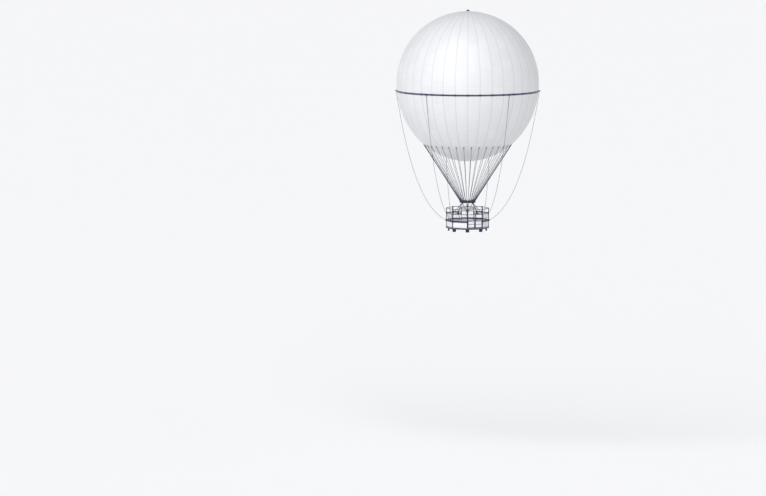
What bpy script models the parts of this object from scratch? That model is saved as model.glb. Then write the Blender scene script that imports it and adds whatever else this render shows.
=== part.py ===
"""A tethered gas balloon that lifts a ring-shaped gondola of passengers.

Metres, +Z up. The origin is the centre of the envelope's widest circle. Azimuth 0 is the front, which
is -Y, and azimuth 90 is +X. The gondola has a corner at the front and its two gates right of it.
"""

import math

import bmesh
import bpy
from mathutils import Matrix, Vector

UP = Vector((0.0, 0.0, 1.0))
RIGHT = Vector((1.0, 0.0, 0.0))
ROUND = 24  # flats round a turned fitting
ROUND_FLAT = math.cos(math.pi / ROUND)  # from a corner's radius to a flat's
GAP = 0.0003  # between two pieces that touch
PIN_GAP = 0.0008  # between a pin's side and its hole

# Envelope: half a sphere on top of half an ellipsoid.
ENVELOPE_R = 11.15
ENVELOPE_DEPTH = 12.22  # from the widest circle to the lowest point
SKIN = 0.010
GORES = 36  # flat across, with a gore's middle at 5 degrees and every 10 after it
TOP_BANDS = 9
LOW_BANDS = 13
CROWN_FLAT_R = 0.42

# Crown valve.
VALVE_HOLE_R = 0.18
VALVE_NECK_R = 0.21
VALVE_NECK_H = 0.15
VALVE_FLANGE_R = 0.40
VALVE_FLANGE_H = 0.02
VALVE_LID_R = 0.245
VALVE_RIM_R = 0.225  # inside of the lid's rim
VALVE_RIM_H = 0.07
VALVE_LID_H = 0.11
VALVE_STEM_R = 0.015
VALVE_STEM_L = 0.18
VALVE_GUIDE_Z = 0.05  # the stem's guide, above the crown
VALVE_GUIDE_H = 0.04

# Girdle, the band that carries the upper ends of the handling ropes.
GIRDLE_TOP = -1.10
GIRDLE_LOW = -1.38
GIRDLE_T = 0.014
GIRDLE_LUG_OUT = 0.17
GIRDLE_LUG_W = 0.14
GIRDLE_LUG_H = 0.22

# Suspension lines from the envelope to the load ring.
LINES_IN_GROUP = 4
LINE_GROUPS = 9
LINE_R = 0.030
LINE_BAND = 7  # the envelope's band, counted down from the widest circle, that takes the patches
PATCH_L = 0.56
PATCH_W = 0.26
PATCH_T = 0.02
ANCHOR_OUT = 0.055  # from the skin to the middle of the block that takes a line
ANCHOR_SIZE = (0.10, 0.09, 0.18)

# Load ring, with the cross that the tether hangs on.
RING_Z = -18.67
RING_R = 1.164
RING_TUBE = 0.080
RING_STEPS = 36
COLLAR_W = 0.16
COLLAR_H = 0.07
HUB_R = 0.22
HUB_H = 0.14
ARM_W = 0.11
ARM_H = 0.11

# Universal joint and swivel.
JOINT_Z = -19.05
CHEEK_OUT = 0.19
CHEEK_T = 0.05
CHEEK_W = 0.16
CHEEK_PAST = 0.09  # how far a cheek runs past the joint's centre
JOINT_PIN_R = 0.040
SPIDER = 0.17
YOKE_BASE_TOP = JOINT_Z - 0.28
YOKE_R = 0.20
THRUST_GAP = 0.0005  # between the yoke's flat underside and the swivel's top
SWIVEL_PIN_R = 0.045
SWIVEL_PIN_L = 0.17
SWIVEL_HEAD_R = 0.065
SWIVEL_HEAD_H = 0.04
SWIVEL_R = 0.11
SWIVEL_TOP = -19.47
SWIVEL_LOW = -19.80
PENNANT_R = 0.035
COUPLING_R = 0.16
COUPLING_T = 0.05
COUPLING_CONE_R = 0.085
COUPLING_CONE_H = 0.34
COUPLING_Z = -22.74

# Hanger legs, three from each of four shackles under the load ring.
SHACKLE = 0.18
LEG_R = 0.026
LEG_FOOT_R = 2.18
LEG_FOOT_SIDE = 0.032
LEG_PLATE = (0.056, 0.14)
LEG_EYE = (0.050, 0.10)

# Gondola levels.
TOP_Z = -19.58
TOP_RING_H = 0.08
TOP_RING_W = 0.12
WELL_RING_W = 0.10
SECOND_Z = -20.38
RUB_TOP = -21.40
RUB_LOW = -21.62
RUB_T = 0.05
PARAPET_Z = -21.65
DECK_Z = -22.53
DECK_T = 0.04
FLOOR_LOW = -22.74
FOOT_LOW = -23.17

# Gondola plan.
SIDES = 8
CORNER = 360.0 / SIDES
CORNER_FLAT = math.cos(math.pi / SIDES)  # from a corner's radius to a side's
OUTER_R = 3.30  # the outer posts' circle
INNER_R = 1.33  # the inner posts' circle
OUTER_POST = 0.055
INNER_POST = 0.040
FLOOR_OUT = 3.39
FLOOR_IN = 1.27
RIM_W = 0.12  # the floor frame's two rims
JOIST_W = 0.12
JOIST_INSET = 0.01  # a joist is this much shallower than the rims, above and below
TIE_RADII = (1.95, 2.65)  # two rings of ties between the joists
TIE_H = 0.09
TIE_W = 0.05
BEAM_W = 0.07
BEAM_H = 0.10
SADDLE = (0.15, 0.20, 0.03)  # round each radial beam where the hanger legs stand
GUSSET = 0.22  # from the post's middle along the beam, and from the beam along the post
GUSSET_T = 0.014
WALL_T = 0.03
FOOT_R = 2.93
FOOT_SIZE = (0.56, 0.26)
FOOT_EDGE = 0.02

# Sides between the posts: each rail's height, its width up and down, and its depth.
STILE = 0.05
SIDE_RAILS = (
    (DECK_Z + 0.035, 0.05, 0.044),
    (PARAPET_Z, 0.045, 0.042),
    (RUB_TOP - 0.03, 0.055, 0.046),
    (SECOND_Z, 0.08, 0.047),
)
BRACE_R = 0.016

# Gates.
MID_POST = 0.14  # between the two gates
GATE_T = 0.040
GATE_RIM = 0.055
GATE_EDGE_GAP = 0.008
HINGE_OFF = 0.026  # from the stile to the hinge line
HINGE_AWAY = 0.031  # from a gate's end to its bracket's middle
HINGE_H = 0.05
HINGE_DEEP = 0.062
HINGE_PAST = 0.034
HINGE_MIDDLE_IN = 0.026  # a bracket's middle lies this far inside the side's plane
GATE_HINGE_IN = 0.030  # the hinge line lies this far inside the gate's middle plane
GATE_ROD = 0.016
GATE_LOW = -22.444
GATE_TOP = -21.400

# Handling ropes: azimuth at the girdle, azimuth of the gondola's corner.
ROPES = ((-160, -135), (-90, -90), (-35, -45), (35, 45), (90, 90), (160, 135))
ROPE_R = 0.025
ROPE_SLACK = 1.023  # rope length over the straight distance
ROPE_POINTS = 40
SOCKET_R = 0.045
SOCKET_L = 0.15
BOSS_R = 0.072
BOSS_H = 0.18
ROPE_LEAD = 0.10  # the straight stretch out of each socket

for old in list(bpy.data.objects):
    bpy.data.objects.remove(old)


def finish(name, colour, roughness, metallic=0.0):
    """A Principled material."""
    made = bpy.data.materials.new(name)
    made.use_nodes = True
    shader = made.node_tree.nodes["Principled BSDF"]
    shader.inputs["Base Color"].default_value = (*colour, 1.0)
    shader.inputs["Roughness"].default_value = roughness
    shader.inputs["Metallic"].default_value = metallic
    made.diffuse_color = (*colour, 1.0)
    return made


SKIN_WHITE = finish("skin_white", (0.84, 0.85, 0.87), 0.45)
PANEL_WHITE = finish("panel_white", (0.80, 0.81, 0.83), 0.40)
ROPE_NAVY = finish("rope_navy", (0.035, 0.035, 0.11), 0.80)
BAND_NAVY = finish("band_navy", (0.030, 0.030, 0.12), 0.65)
STEEL_NAVY = finish("steel_navy", (0.028, 0.028, 0.095), 0.38, 0.3)
STEEL_BARE = finish("steel_bare", (0.42, 0.43, 0.45), 0.35, 1.0)
ALLOY = finish("alloy", (0.62, 0.63, 0.65), 0.40, 1.0)
RUBBER = finish("rubber", (0.02, 0.02, 0.03), 0.85)
DECKING = finish("decking", (0.33, 0.34, 0.36), 0.55, 0.6)


def spot(azimuth, radius, height=0.0):
    """A point by azimuth in degrees, distance from the axis and height."""
    turn = math.radians(azimuth)
    return Vector((radius * math.sin(turn), -radius * math.cos(turn), height))


def from_shape(shape, name="shape"):
    """Makes an object of a bmesh, with its faces pointing out."""
    bmesh.ops.recalc_face_normals(shape, faces=shape.faces)
    mesh = bpy.data.meshes.new(name)
    shape.to_mesh(mesh)
    shape.free()
    made = bpy.data.objects.new(name, mesh)
    bpy.context.scene.collection.objects.link(made)
    return made


def extruded(points, by):
    """A flat outline grown along a vector."""
    shape = bmesh.new()
    base = shape.faces.new([shape.verts.new(point) for point in points])
    grown = bmesh.ops.extrude_face_region(shape, geom=[base])
    moved = [v for v in grown["geom"] if isinstance(v, bmesh.types.BMVert)]
    bmesh.ops.translate(shape, verts=moved, vec=by)
    return from_shape(shape)


def prism(outline, low, high):
    """An upright prism on an outline of (x, y) points."""
    return extruded([(x, y, low) for x, y, *_ in outline], UP * (high - low))


def block(size, place=Matrix.Identity(4)):
    """A box of the given size, put in place by a matrix."""
    shape = bmesh.new()
    bmesh.ops.create_cube(shape, size=1.0, matrix=place @ Matrix.Diagonal((*size, 1.0)))
    return from_shape(shape)


def frame_along(start, end, side):
    """A matrix at the middle of start and end: Z runs along them and X lies as near to side as can be."""
    along = (end - start).normalized()
    across = (side - along * side.dot(along)).normalized()
    third = along.cross(across)
    turn = Matrix((across, third, along)).transposed().to_4x4()
    return Matrix.Translation((start + end) / 2) @ turn


def bar(start, end, wide, deep, side=UP):
    """A square-cut bar from start to end, wide along side."""
    return block((wide, deep, (end - start).length), frame_along(start, end, side))


def rod(start, end, radius, sides=12):
    """A round bar from start to end, whose edges stand at the radius."""
    side = Vector((1, 0, 0)) if abs((end - start).normalized().x) < 0.9 else UP
    shape = bmesh.new()
    bmesh.ops.create_cone(
        shape,
        cap_ends=True,
        segments=sides,
        radius1=radius,
        radius2=radius,
        depth=(end - start).length,
        matrix=frame_along(start, end, side),
    )
    return from_shape(shape)


def turned(profile, steps, first=0.0):
    """A closed profile of (radius, height) points turned round the axis; a pole has radius 0."""
    shape = bmesh.new()
    rings = []
    for r, z in profile:
        if r == 0.0:
            rings.append([shape.verts.new((0, 0, z))] * steps)
        else:
            rings.append([shape.verts.new(spot(first + 360.0 * i / steps, r, z)) for i in range(steps)])
    for k, ring in enumerate(rings):
        following = rings[(k + 1) % len(rings)]
        for i in range(steps):
            j = (i + 1) % steps
            corners = dict.fromkeys((ring[i], ring[j], following[j], following[i]))
            if len(corners) > 2:
                shape.faces.new(corners)
    return from_shape(shape)


def octagon_ring(inner, outer, low, high):
    """A flat-sided ring round the axis, with a corner at the front."""
    return turned([(inner, low), (outer, low), (outer, high), (inner, high)], SIDES)


def settled(made):
    """Turns an object's modifiers into plain mesh."""
    view = bpy.context.evaluated_depsgraph_get()
    mesh = bpy.data.meshes.new_from_object(made.evaluated_get(view))
    made.modifiers.clear()
    made.data = mesh
    return made


def combined(base, others, operation="UNION"):
    """Base with the other solids joined to it or cut from it, as one plain mesh."""
    for other in others:
        step = base.modifiers.new("Step", "BOOLEAN")
        step.operation = operation
        step.object = other
    settled(base)
    for other in others:
        bpy.data.objects.remove(other)
    return base


def named(made, name, material, smooth=True):
    """Gives a finished solid its name and material."""
    made.name = name
    made.data.name = name
    made.data.materials.clear()
    made.data.materials.append(material)
    if smooth:
        made.data.shade_smooth()
        made.data.set_sharp_from_angle(angle=math.radians(32))
    return made


def repeated(made, name, material, turns):
    """One object for each turn about the axis, all sharing the mesh of the first."""
    named(made, f"{name}_1", material)
    for k, turn in enumerate(turns):
        each = made if k == 0 else bpy.data.objects.new(f"{name}_{k + 1}", made.data)
        if k:
            bpy.context.scene.collection.objects.link(each)
        each.rotation_euler.z = math.radians(turn)


def skin_profile(inset=0.0):
    """The envelope's profile as (radius, height) points, from the crown's flat down to the lowest point."""
    flat = math.asin(CROWN_FLAT_R / ENVELOPE_R)
    r, depth = ENVELOPE_R - inset, ENVELOPE_DEPTH - inset
    upper = [flat + (math.pi / 2 - flat) * k / TOP_BANDS for k in range(TOP_BANDS)]
    lower = [math.pi / 2 * k / LOW_BANDS for k in range(LOW_BANDS)]
    points = [(r * math.sin(a), r * math.cos(a)) for a in upper]
    points += [(r * math.cos(a), -depth * math.sin(a)) for a in lower]
    return points + [(0.0, -depth)]


CROWN_Z = skin_profile()[0][1]


def make_envelope():
    outer = [(VALVE_HOLE_R, CROWN_Z)] + skin_profile()
    inner = skin_profile(SKIN)
    inner = [(VALVE_HOLE_R, inner[0][1])] + inner
    shell = turned(outer + inner[::-1], GORES)
    named(shell, "envelope", SKIN_WHITE)


def make_crown_valve():
    """The valve's seat on the crown, and the lid that lifts off it."""
    base = CROWN_Z + GAP
    neck_top = base + VALVE_NECK_H
    seat = turned(
        [
            (VALVE_HOLE_R, base),
            (VALVE_FLANGE_R, base),
            (VALVE_FLANGE_R, base + VALVE_FLANGE_H),
            (VALVE_NECK_R, base + VALVE_FLANGE_H),
            (VALVE_NECK_R, neck_top),
            (VALVE_HOLE_R, neck_top),
        ],
        ROUND,
    )
    guide_low, guide_top = base + VALVE_GUIDE_Z, base + VALVE_GUIDE_Z + VALVE_GUIDE_H
    reach = VALVE_HOLE_R + 0.01
    arm_z = (guide_low + guide_top) / 2
    guide = [bar(spot(a, -reach, arm_z), spot(a, reach, arm_z), 0.024, 0.03) for a in (0, 90)]
    guide.append(rod(UP * guide_low, UP * guide_top, VALVE_STEM_R + 0.03, ROUND))
    combined(seat, guide)
    bore = (VALVE_STEM_R + PIN_GAP) / ROUND_FLAT
    combined(seat, [rod(UP * (guide_low - 0.02), UP * (guide_top + 0.02), bore, ROUND)], "DIFFERENCE")
    named(seat, "crown_valve_seat", ALLOY)

    low = neck_top + GAP
    dome = [(VALVE_LID_R * math.cos(a), low + VALVE_LID_H * math.sin(a)) for a in (0.0, 0.4, 0.75, 1.1)]
    lid = turned(
        [
            (0.0, low + VALVE_LID_H),
            (0.0, low - VALVE_STEM_L),
            (VALVE_STEM_R, low - VALVE_STEM_L),
            (VALVE_STEM_R, low),
            (VALVE_RIM_R, low),
            (VALVE_RIM_R, low - VALVE_RIM_H),
            (VALVE_LID_R, low - VALVE_RIM_H),
        ]
        + dome,
        ROUND,
    )
    named(lid, "crown_valve_lid", STEEL_NAVY)


def skin_radius(height):
    """The radius of the envelope's edges at a height just below its widest circle."""
    (r0, z0), (r1, z1) = skin_profile()[TOP_BANDS : TOP_BANDS + 2]
    return r0 + (r1 - r0) * (height - z0) / (z1 - z0)


def girdle_eye(azimuth):
    """The point in a girdle lug that a rope's socket starts from."""
    return spot(azimuth, ENVELOPE_R + 0.03, (GIRDLE_TOP + GIRDLE_LOW) / 2)


def mooring_eye(azimuth):
    """The point in the rub rail's boss that a rope's socket starts from."""
    return spot(azimuth, OUTER_R + OUTER_POST + 0.085, (RUB_TOP + RUB_LOW) / 2)


def hanging(low, high, slack):
    """A hanging rope between two points: its scale, its lowest point's offset from low, and its span."""
    rise = high.z - low.z
    span = math.hypot(high.x - low.x, high.y - low.y)
    length = slack * math.hypot(rise, span)
    pull = math.sqrt(length * length - rise * rise)
    small, large = span / 40, span * 40
    for _ in range(200):
        scale = (small + large) / 2
        if 2 * scale * math.sinh(span / (2 * scale)) > pull:
            small = scale
        else:
            large = scale
    offset = span / 2 - scale * math.atanh(rise / length)
    return scale, offset, span


def rope_slopes(low, high):
    """Unit directions along the rope, into it, at its low and its high end."""
    scale, offset, span = hanging(low, high, ROPE_SLACK)
    level = Vector((high.x - low.x, high.y - low.y, 0)).normalized()
    rise_low = math.sinh(-offset / scale)
    rise_high = math.sinh((span - offset) / scale)
    return (level + UP * rise_low).normalized(), -(level + UP * rise_high).normalized()


def rope_ends(top_azimuth, corner_azimuth):
    """The tips of a rope's low and high sockets, and the rope's directions out of them."""
    low, high = mooring_eye(corner_azimuth), girdle_eye(top_azimuth)
    into_low, into_high = rope_slopes(low, high)
    reach = SOCKET_L + GAP + ROPE_LEAD
    for _ in range(12):
        into_low, into_high = rope_slopes(low + into_low * reach, high + into_high * reach)
    return low + into_low * SOCKET_L, high + into_high * SOCKET_L, into_low, into_high


def make_girdle():
    low, high = skin_radius(GIRDLE_LOW) + 2 * GAP, skin_radius(GIRDLE_TOP) + 2 * GAP
    band = turned(
        [(low, GIRDLE_LOW), (low + GIRDLE_T, GIRDLE_LOW), (high + GIRDLE_T, GIRDLE_TOP), (high, GIRDLE_TOP)],
        GORES,
    )
    middle = (GIRDLE_TOP + GIRDLE_LOW) / 2
    half_gore = math.pi / GORES
    lugs = []
    for top, corner in ROPES:
        past_seam = math.radians(top) % (2 * half_gore) - half_gore
        start = high * math.cos(half_gore) / math.cos(past_seam) + GIRDLE_T * 0.45
        end = ENVELOPE_R + GIRDLE_LUG_OUT
        lugs.append(bar(spot(top, start, middle), spot(top, end, middle), GIRDLE_LUG_H, GIRDLE_LUG_W))
        _, tip, _, into = rope_ends(top, corner)
        lugs.append(rod(girdle_eye(top), tip, SOCKET_R))
    combined(band, lugs)
    named(band, "girdle", BAND_NAVY)


def make_suspension_lines():
    """Groups of lines, each on one collar on the load ring and on patches on the envelope's facets."""
    upper, lower = skin_profile()[TOP_BANDS + LINE_BAND : TOP_BANDS + LINE_BAND + 2]
    shrink = math.cos(math.pi / GORES)
    collar_low = RING_Z + RING_TUBE + GAP
    spacing = 360.0 / (LINE_GROUPS * LINES_IN_GROUP)
    half = spacing * (LINES_IN_GROUP - 1) / 2
    edge = half + spacing * 0.33
    turns = [edge * (k / 4 - 1) for k in range(9)]
    inner = [spot(turn, RING_R - COLLAR_W / 2) for turn in turns]
    outer = [spot(turn, RING_R + COLLAR_W / 2) for turn in turns]
    collar = prism(inner + outer[::-1], collar_low, collar_low + COLLAR_H)
    pieces = []
    for k in range(LINES_IN_GROUP):
        azimuth = -half + spacing * k
        top, low = spot(azimuth, upper[0] * shrink, upper[1]), spot(azimuth, lower[0] * shrink, lower[1])
        side = spot(azimuth + 90, 1.0)
        down = (low - top).normalized()
        out = side.cross(down).normalized()
        if out.z > 0:
            out = -out
        middle = (top + low) / 2
        along = down * (PATCH_L / 2)
        lift = out * (PATCH_T / 2 + 2 * GAP)
        pieces.append(bar(middle - along + lift, middle + along + lift, PATCH_W, PATCH_T, side))
        anchor = middle + out * ANCHOR_OUT
        half_block = down * (ANCHOR_SIZE[2] / 2)
        pieces.append(bar(anchor - half_block, anchor + half_block, *ANCHOR_SIZE[:2], side))
        pieces.append(rod(spot(azimuth, RING_R, collar_low + COLLAR_H * 0.55), anchor, LINE_R, 6))
    combined(collar, pieces)
    turns = [k * spacing * LINES_IN_GROUP for k in range(LINE_GROUPS)]
    repeated(collar, "suspension_lines", ROPE_NAVY, turns)


def make_load_ring():
    turns = [2 * math.pi * k / 12 for k in range(12)]
    tube = [(RING_R + RING_TUBE * math.cos(t), RING_Z + RING_TUBE * math.sin(t)) for t in turns]
    named(turned(tube, RING_STEPS), "load_ring", STEEL_NAVY)

    hub_low = RING_Z - HUB_H / 2
    hub_top = hub_low + HUB_H
    cross = turned([(0.0, hub_low), (HUB_R, hub_low), (HUB_R, hub_top), (0.0, hub_top)], ROUND)
    reach = RING_R - RING_TUBE - ARM_W / 2 * math.tan(math.pi / RING_STEPS) - GAP
    pieces = [bar(spot(a, -reach, RING_Z), spot(a, reach, RING_Z), ARM_H, ARM_W) for a in (0, 90)]
    for side in (-1, 1):
        place = RIGHT * side * (CHEEK_OUT - CHEEK_T / 2)
        low, high = place + UP * (JOINT_Z - CHEEK_PAST), place + UP * (hub_low + 0.02)
        pieces.append(bar(low, high, CHEEK_T, CHEEK_W, RIGHT))
    combined(cross, pieces)
    hole = rod(UP * JOINT_Z - RIGHT * HUB_R, UP * JOINT_Z + RIGHT * HUB_R, JOINT_PIN_R + PIN_GAP, ROUND)
    combined(cross, [hole], "DIFFERENCE")
    named(cross, "tether_cross", STEEL_NAVY)


def make_tether_joint():
    """The universal joint's spider and lower yoke, and the swivel with the tether's upper end."""
    centre = UP * JOINT_Z
    spider = block((SPIDER, SPIDER, SPIDER * 0.7), Matrix.Translation(centre))
    reaches = [spot(a, CHEEK_OUT + 0.02) for a in (0, 90)]
    pins = [rod(centre - reach, centre + reach, JOINT_PIN_R, ROUND) for reach in reaches]
    named(combined(spider, pins), "joint_spider", STEEL_BARE)

    base_top, base_low = YOKE_BASE_TOP, SWIVEL_TOP + THRUST_GAP
    base = turned([(0.0, base_low), (YOKE_R, base_low), (YOKE_R, base_top), (0.0, base_top)], ROUND)
    pieces = []
    for side in (-1, 1):
        place = Vector((0, side * (CHEEK_OUT - CHEEK_T / 2), 0))
        top = UP * (JOINT_Z + CHEEK_PAST)
        pieces.append(bar(place + UP * (base_top - 0.02), place + top, CHEEK_W, CHEEK_T, RIGHT))
    pin_low = SWIVEL_TOP - SWIVEL_PIN_L
    pieces.append(rod(UP * (base_low + 0.02), UP * pin_low, SWIVEL_PIN_R, ROUND))
    pieces.append(rod(UP * (pin_low - 0.001), UP * (pin_low + SWIVEL_HEAD_H), SWIVEL_HEAD_R, ROUND))
    combined(base, pieces)
    hole = rod(centre - spot(0, YOKE_R * 2), centre + spot(0, YOKE_R * 2), JOINT_PIN_R + PIN_GAP, ROUND)
    named(combined(base, [hole], "DIFFERENCE"), "joint_yoke", STEEL_NAVY)

    bore_r = (SWIVEL_PIN_R + PIN_GAP) / ROUND_FLAT
    room_r = (SWIVEL_HEAD_R + 0.004) / ROUND_FLAT
    room_low, room_top = pin_low - 0.008, pin_low + SWIVEL_HEAD_H + 0.006
    cone_top = COUPLING_Z + COUPLING_CONE_H
    plate_top = COUPLING_Z + COUPLING_T
    named(
        turned(
            [
                (0.0, room_low),
                (room_r, room_low),
                (room_r, room_top),
                (bore_r, room_top),
                (bore_r, SWIVEL_TOP),
                (SWIVEL_R, SWIVEL_TOP),
                (SWIVEL_R, SWIVEL_LOW + 0.08),
                (PENNANT_R + 0.02, SWIVEL_LOW),
                (PENNANT_R, SWIVEL_LOW),
                (PENNANT_R, cone_top),
                (PENNANT_R + 0.02, cone_top),
                (COUPLING_CONE_R, plate_top),
                (COUPLING_R, plate_top),
                (COUPLING_R, COUPLING_Z),
                (0.0, COUPLING_Z),
            ],
            ROUND,
        ),
        "tether_pennant",
        STEEL_BARE,
    )


def make_hanger_legs():
    """A shackle under the load ring with three legs to the gondola's radial beams, four times."""
    azimuth = CORNER
    top = RING_Z - RING_TUBE - GAP
    side = spot(azimuth + 90, 1.0)
    shackle = bar(spot(azimuth, RING_R, top - SHACKLE), spot(azimuth, RING_R, top), SHACKLE, SHACKLE, side)
    start = spot(azimuth, RING_R, top - SHACKLE * 0.6)
    foot_z = SECOND_Z + BEAM_H / 2 + SADDLE[2] / 2 + GAP
    pieces = []
    for corner, shift in ((0, 1), (1, 0), (2, -1)):
        aside = spot(corner * CORNER + 90, 1.0)
        foot = spot(corner * CORNER, LEG_FOOT_R, foot_z) + aside * (shift * LEG_FOOT_SIDE)
        pieces.append(bar(foot, foot + UP * 0.03, LEG_PLATE[0], LEG_PLATE[1], aside))
        pieces.append(rod(start, foot + UP * 0.04, LEG_R, 8))
        pieces.append(bar(foot + UP * 0.02, foot + UP * 0.10, LEG_EYE[0], LEG_EYE[1], aside))
    combined(shackle, pieces)
    repeated(shackle, "hanger_legs", STEEL_NAVY, [90 * k for k in range(4)])


def make_floor():
    high = DECK_Z - DECK_T - GAP
    frame = octagon_ring(FLOOR_OUT - RIM_W, FLOOR_OUT, FLOOR_LOW, high)
    inner = octagon_ring(FLOOR_IN, FLOOR_IN + RIM_W, FLOOR_LOW, high)
    joist_low, joist_top = FLOOR_LOW + JOIST_INSET, high - JOIST_INSET
    middle = (joist_low + joist_top) / 2
    joists = []
    for k in range(SIDES):
        start = spot(CORNER * k, FLOOR_IN + RIM_W / 2, middle)
        end = spot(CORNER * k, FLOOR_OUT - RIM_W / 2, middle)
        joists.append(bar(start, end, joist_top - joist_low, JOIST_W))
        for radius in TIE_RADII:
            tie_ends = spot(CORNER * k, radius, middle), spot(CORNER * (k + 1), radius, middle)
            joists.append(bar(*tie_ends, TIE_H, TIE_W))
    combined(frame, joists)
    combined(frame, [inner])
    named(frame, "floor_frame", STEEL_NAVY, smooth=False)
    deck = octagon_ring(FLOOR_IN, FLOOR_OUT, DECK_Z - DECK_T, DECK_Z)
    named(deck, "floor_deck", DECKING, smooth=False)

    wide, deep = FOOT_SIZE
    foot = bar(spot(0, FOOT_R, FOOT_LOW), spot(0, FOOT_R, joist_low - GAP), wide, deep, spot(90, 1.0))
    soften = foot.modifiers.new("Soften", "BEVEL")
    soften.width = FOOT_EDGE
    soften.segments = 1
    repeated(settled(foot), "foot", RUBBER, [CORNER * k for k in range(SIDES)])


def make_portals():
    """Each corner's outer post, inner post and the radial beam between them."""
    foot, head = DECK_Z + GAP, TOP_Z - TOP_RING_H - GAP
    portal = bar(spot(0, INNER_R, SECOND_Z), spot(0, OUTER_R, SECOND_Z), BEAM_H, BEAM_W)
    posts = [
        rod(spot(0, OUTER_R, foot), spot(0, OUTER_R, head), OUTER_POST, 12),
        rod(spot(0, INNER_R, foot), spot(0, INNER_R, head), INNER_POST, 12),
    ]
    saddle_z = SECOND_Z + BEAM_H / 2
    wide, long, thick = SADDLE
    near, far = LEG_FOOT_R - long / 2, LEG_FOOT_R + long / 2
    saddle = bar(spot(0, near, saddle_z), spot(0, far, saddle_z), thick, wide)
    gussets = []
    for post_r, way in ((OUTER_R, -1), (INNER_R, 1)):
        for up in (-1, 1):
            level = SECOND_Z + up * (BEAM_H / 2 - 0.01)
            corners = (post_r, level), (post_r + way * GUSSET, level), (post_r, level + up * GUSSET)
            plate = [spot(0, r, z) - RIGHT * (GUSSET_T / 2) for r, z in corners]
            gussets.append(extruded(plate, RIGHT * GUSSET_T))
    combined(portal, posts + [saddle] + gussets)
    repeated(portal, "portal", STEEL_NAVY, [CORNER * k for k in range(SIDES)])


def make_rings():
    outer = octagon_ring(OUTER_R - TOP_RING_W / 2, OUTER_R + TOP_RING_W / 2, TOP_Z - TOP_RING_H, TOP_Z)
    named(outer, "top_ring", STEEL_NAVY, smooth=False)
    inner = octagon_ring(INNER_R - WELL_RING_W / 2, INNER_R + WELL_RING_W / 2, TOP_Z - TOP_RING_H, TOP_Z)
    named(inner, "well_ring", STEEL_NAVY, smooth=False)
    wall_in = INNER_R + (INNER_POST + GAP) / CORNER_FLAT
    wall = octagon_ring(wall_in, wall_in + WALL_T / CORNER_FLAT, DECK_Z + GAP, RUB_TOP)
    named(wall, "well_wall", PANEL_WHITE, smooth=False)

    rail_in = OUTER_R + (OUTER_POST + GAP) / CORNER_FLAT
    rail_out = rail_in + RUB_T / CORNER_FLAT
    corners = range(1, SIDES + 1)
    inner = [spot(CORNER * k, rail_in) for k in corners]
    outer = [spot(CORNER * k, rail_out) for k in corners]
    rail = prism(inner + outer[::-1], RUB_LOW, RUB_TOP)
    bosses = []
    for top, corner in ROPES:
        eye = mooring_eye(corner)
        bosses.append(rod(eye - UP * BOSS_H / 2, eye + UP * BOSS_H / 2, BOSS_R, 12))
        bosses.append(rod(eye, rope_ends(top, corner)[0], SOCKET_R))
    combined(rail, bosses)
    named(rail, "rub_rail", STEEL_NAVY)


HALF_SIDE = OUTER_R * math.sin(math.pi / SIDES)
FACE_IN = OUTER_R * CORNER_FLAT
SIDE_OUT = spot(CORNER / 2, 1.0)


def on_side(along, height, out=0.0):
    """A point on the side between azimuth 0 and 45: along it from its middle, up, and out of its plane."""
    middle = CORNER / 2
    return spot(middle, FACE_IN + out, height) + spot(middle + 90, along)


def side_bar(a, b, wide, deep):
    """A bar in a side's plane between two (along, height) points, deep across the plane."""
    return bar(on_side(*a), on_side(*b), deep, wide, SIDE_OUT)


def make_sides():
    """Seven closed sides share one mesh; the eighth has the gates' frame."""
    end = HALF_SIDE - OUTER_POST - GAP
    centre = end - STILE / 2
    foot, head = DECK_Z + GAP, TOP_Z - TOP_RING_H - GAP
    rail_z = RUB_TOP - 0.03

    def stiles():
        return [side_bar((s * centre, foot), (s * centre, head), STILE, STILE) for s in (-1, 1)]

    left, right = stiles()
    inside = end - 0.01
    sill = foot + 0.035
    panel_z = (sill + PARAPET_Z) / 2
    pieces = [right, side_bar((-inside, panel_z), (inside, panel_z), PARAPET_Z - sill, 0.03)]
    for z, wide, deep in SIDE_RAILS:
        pieces.append(side_bar((-inside, z), (inside, z), wide, deep))
    pieces.append(rod(on_side(-inside, SECOND_Z), on_side(inside, rail_z), BRACE_R, 6))
    pieces.append(rod(on_side(-inside, head - 0.05), on_side(inside, SECOND_Z), BRACE_R, 6))
    combined(left, pieces)
    named(left, "side_1", STEEL_NAVY)
    for k in range(1, SIDES):
        each = left if k == 1 else bpy.data.objects.new(f"side_{k}", left.data)
        if k > 1:
            bpy.context.scene.collection.objects.link(each)
        each.rotation_euler.z = math.radians(CORNER * k)

    left, right = stiles()
    pieces = [
        right,
        side_bar((0, foot), (0, SECOND_Z), MID_POST, 0.046),
        side_bar((-inside, SECOND_Z), (inside, SECOND_Z), SIDE_RAILS[-1][1], SIDE_RAILS[-1][2]),
    ]
    hinge = end - STILE - HINGE_OFF
    holes = []
    for side in (-1, 1):
        for z in (GATE_LOW - HINGE_AWAY, GATE_TOP + HINGE_AWAY):
            start = on_side(side * (centre - 0.005), z, -HINGE_MIDDLE_IN)
            end_by = on_side(side * (hinge - HINGE_PAST), z, -HINGE_MIDDLE_IN)
            pieces.append(bar(start, end_by, HINGE_H, HINGE_DEEP))
        hole_r = (GATE_ROD + PIN_GAP) / ROUND_FLAT
        line_low = on_side(side * hinge, GATE_LOW - HINGE_AWAY * 3, -GATE_HINGE_IN)
        line_high = on_side(side * hinge, GATE_TOP + HINGE_AWAY * 3, -GATE_HINGE_IN)
        holes.append(rod(line_low, line_high, hole_r, ROUND))
    combined(left, pieces)
    combined(left, holes, "DIFFERENCE")
    named(left, "gate_frame", STEEL_NAVY)

    for name, side in (("gate_left", -1), ("gate_right", 1)):
        make_gate(name, side, hinge, end - STILE - GATE_EDGE_GAP)


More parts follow.
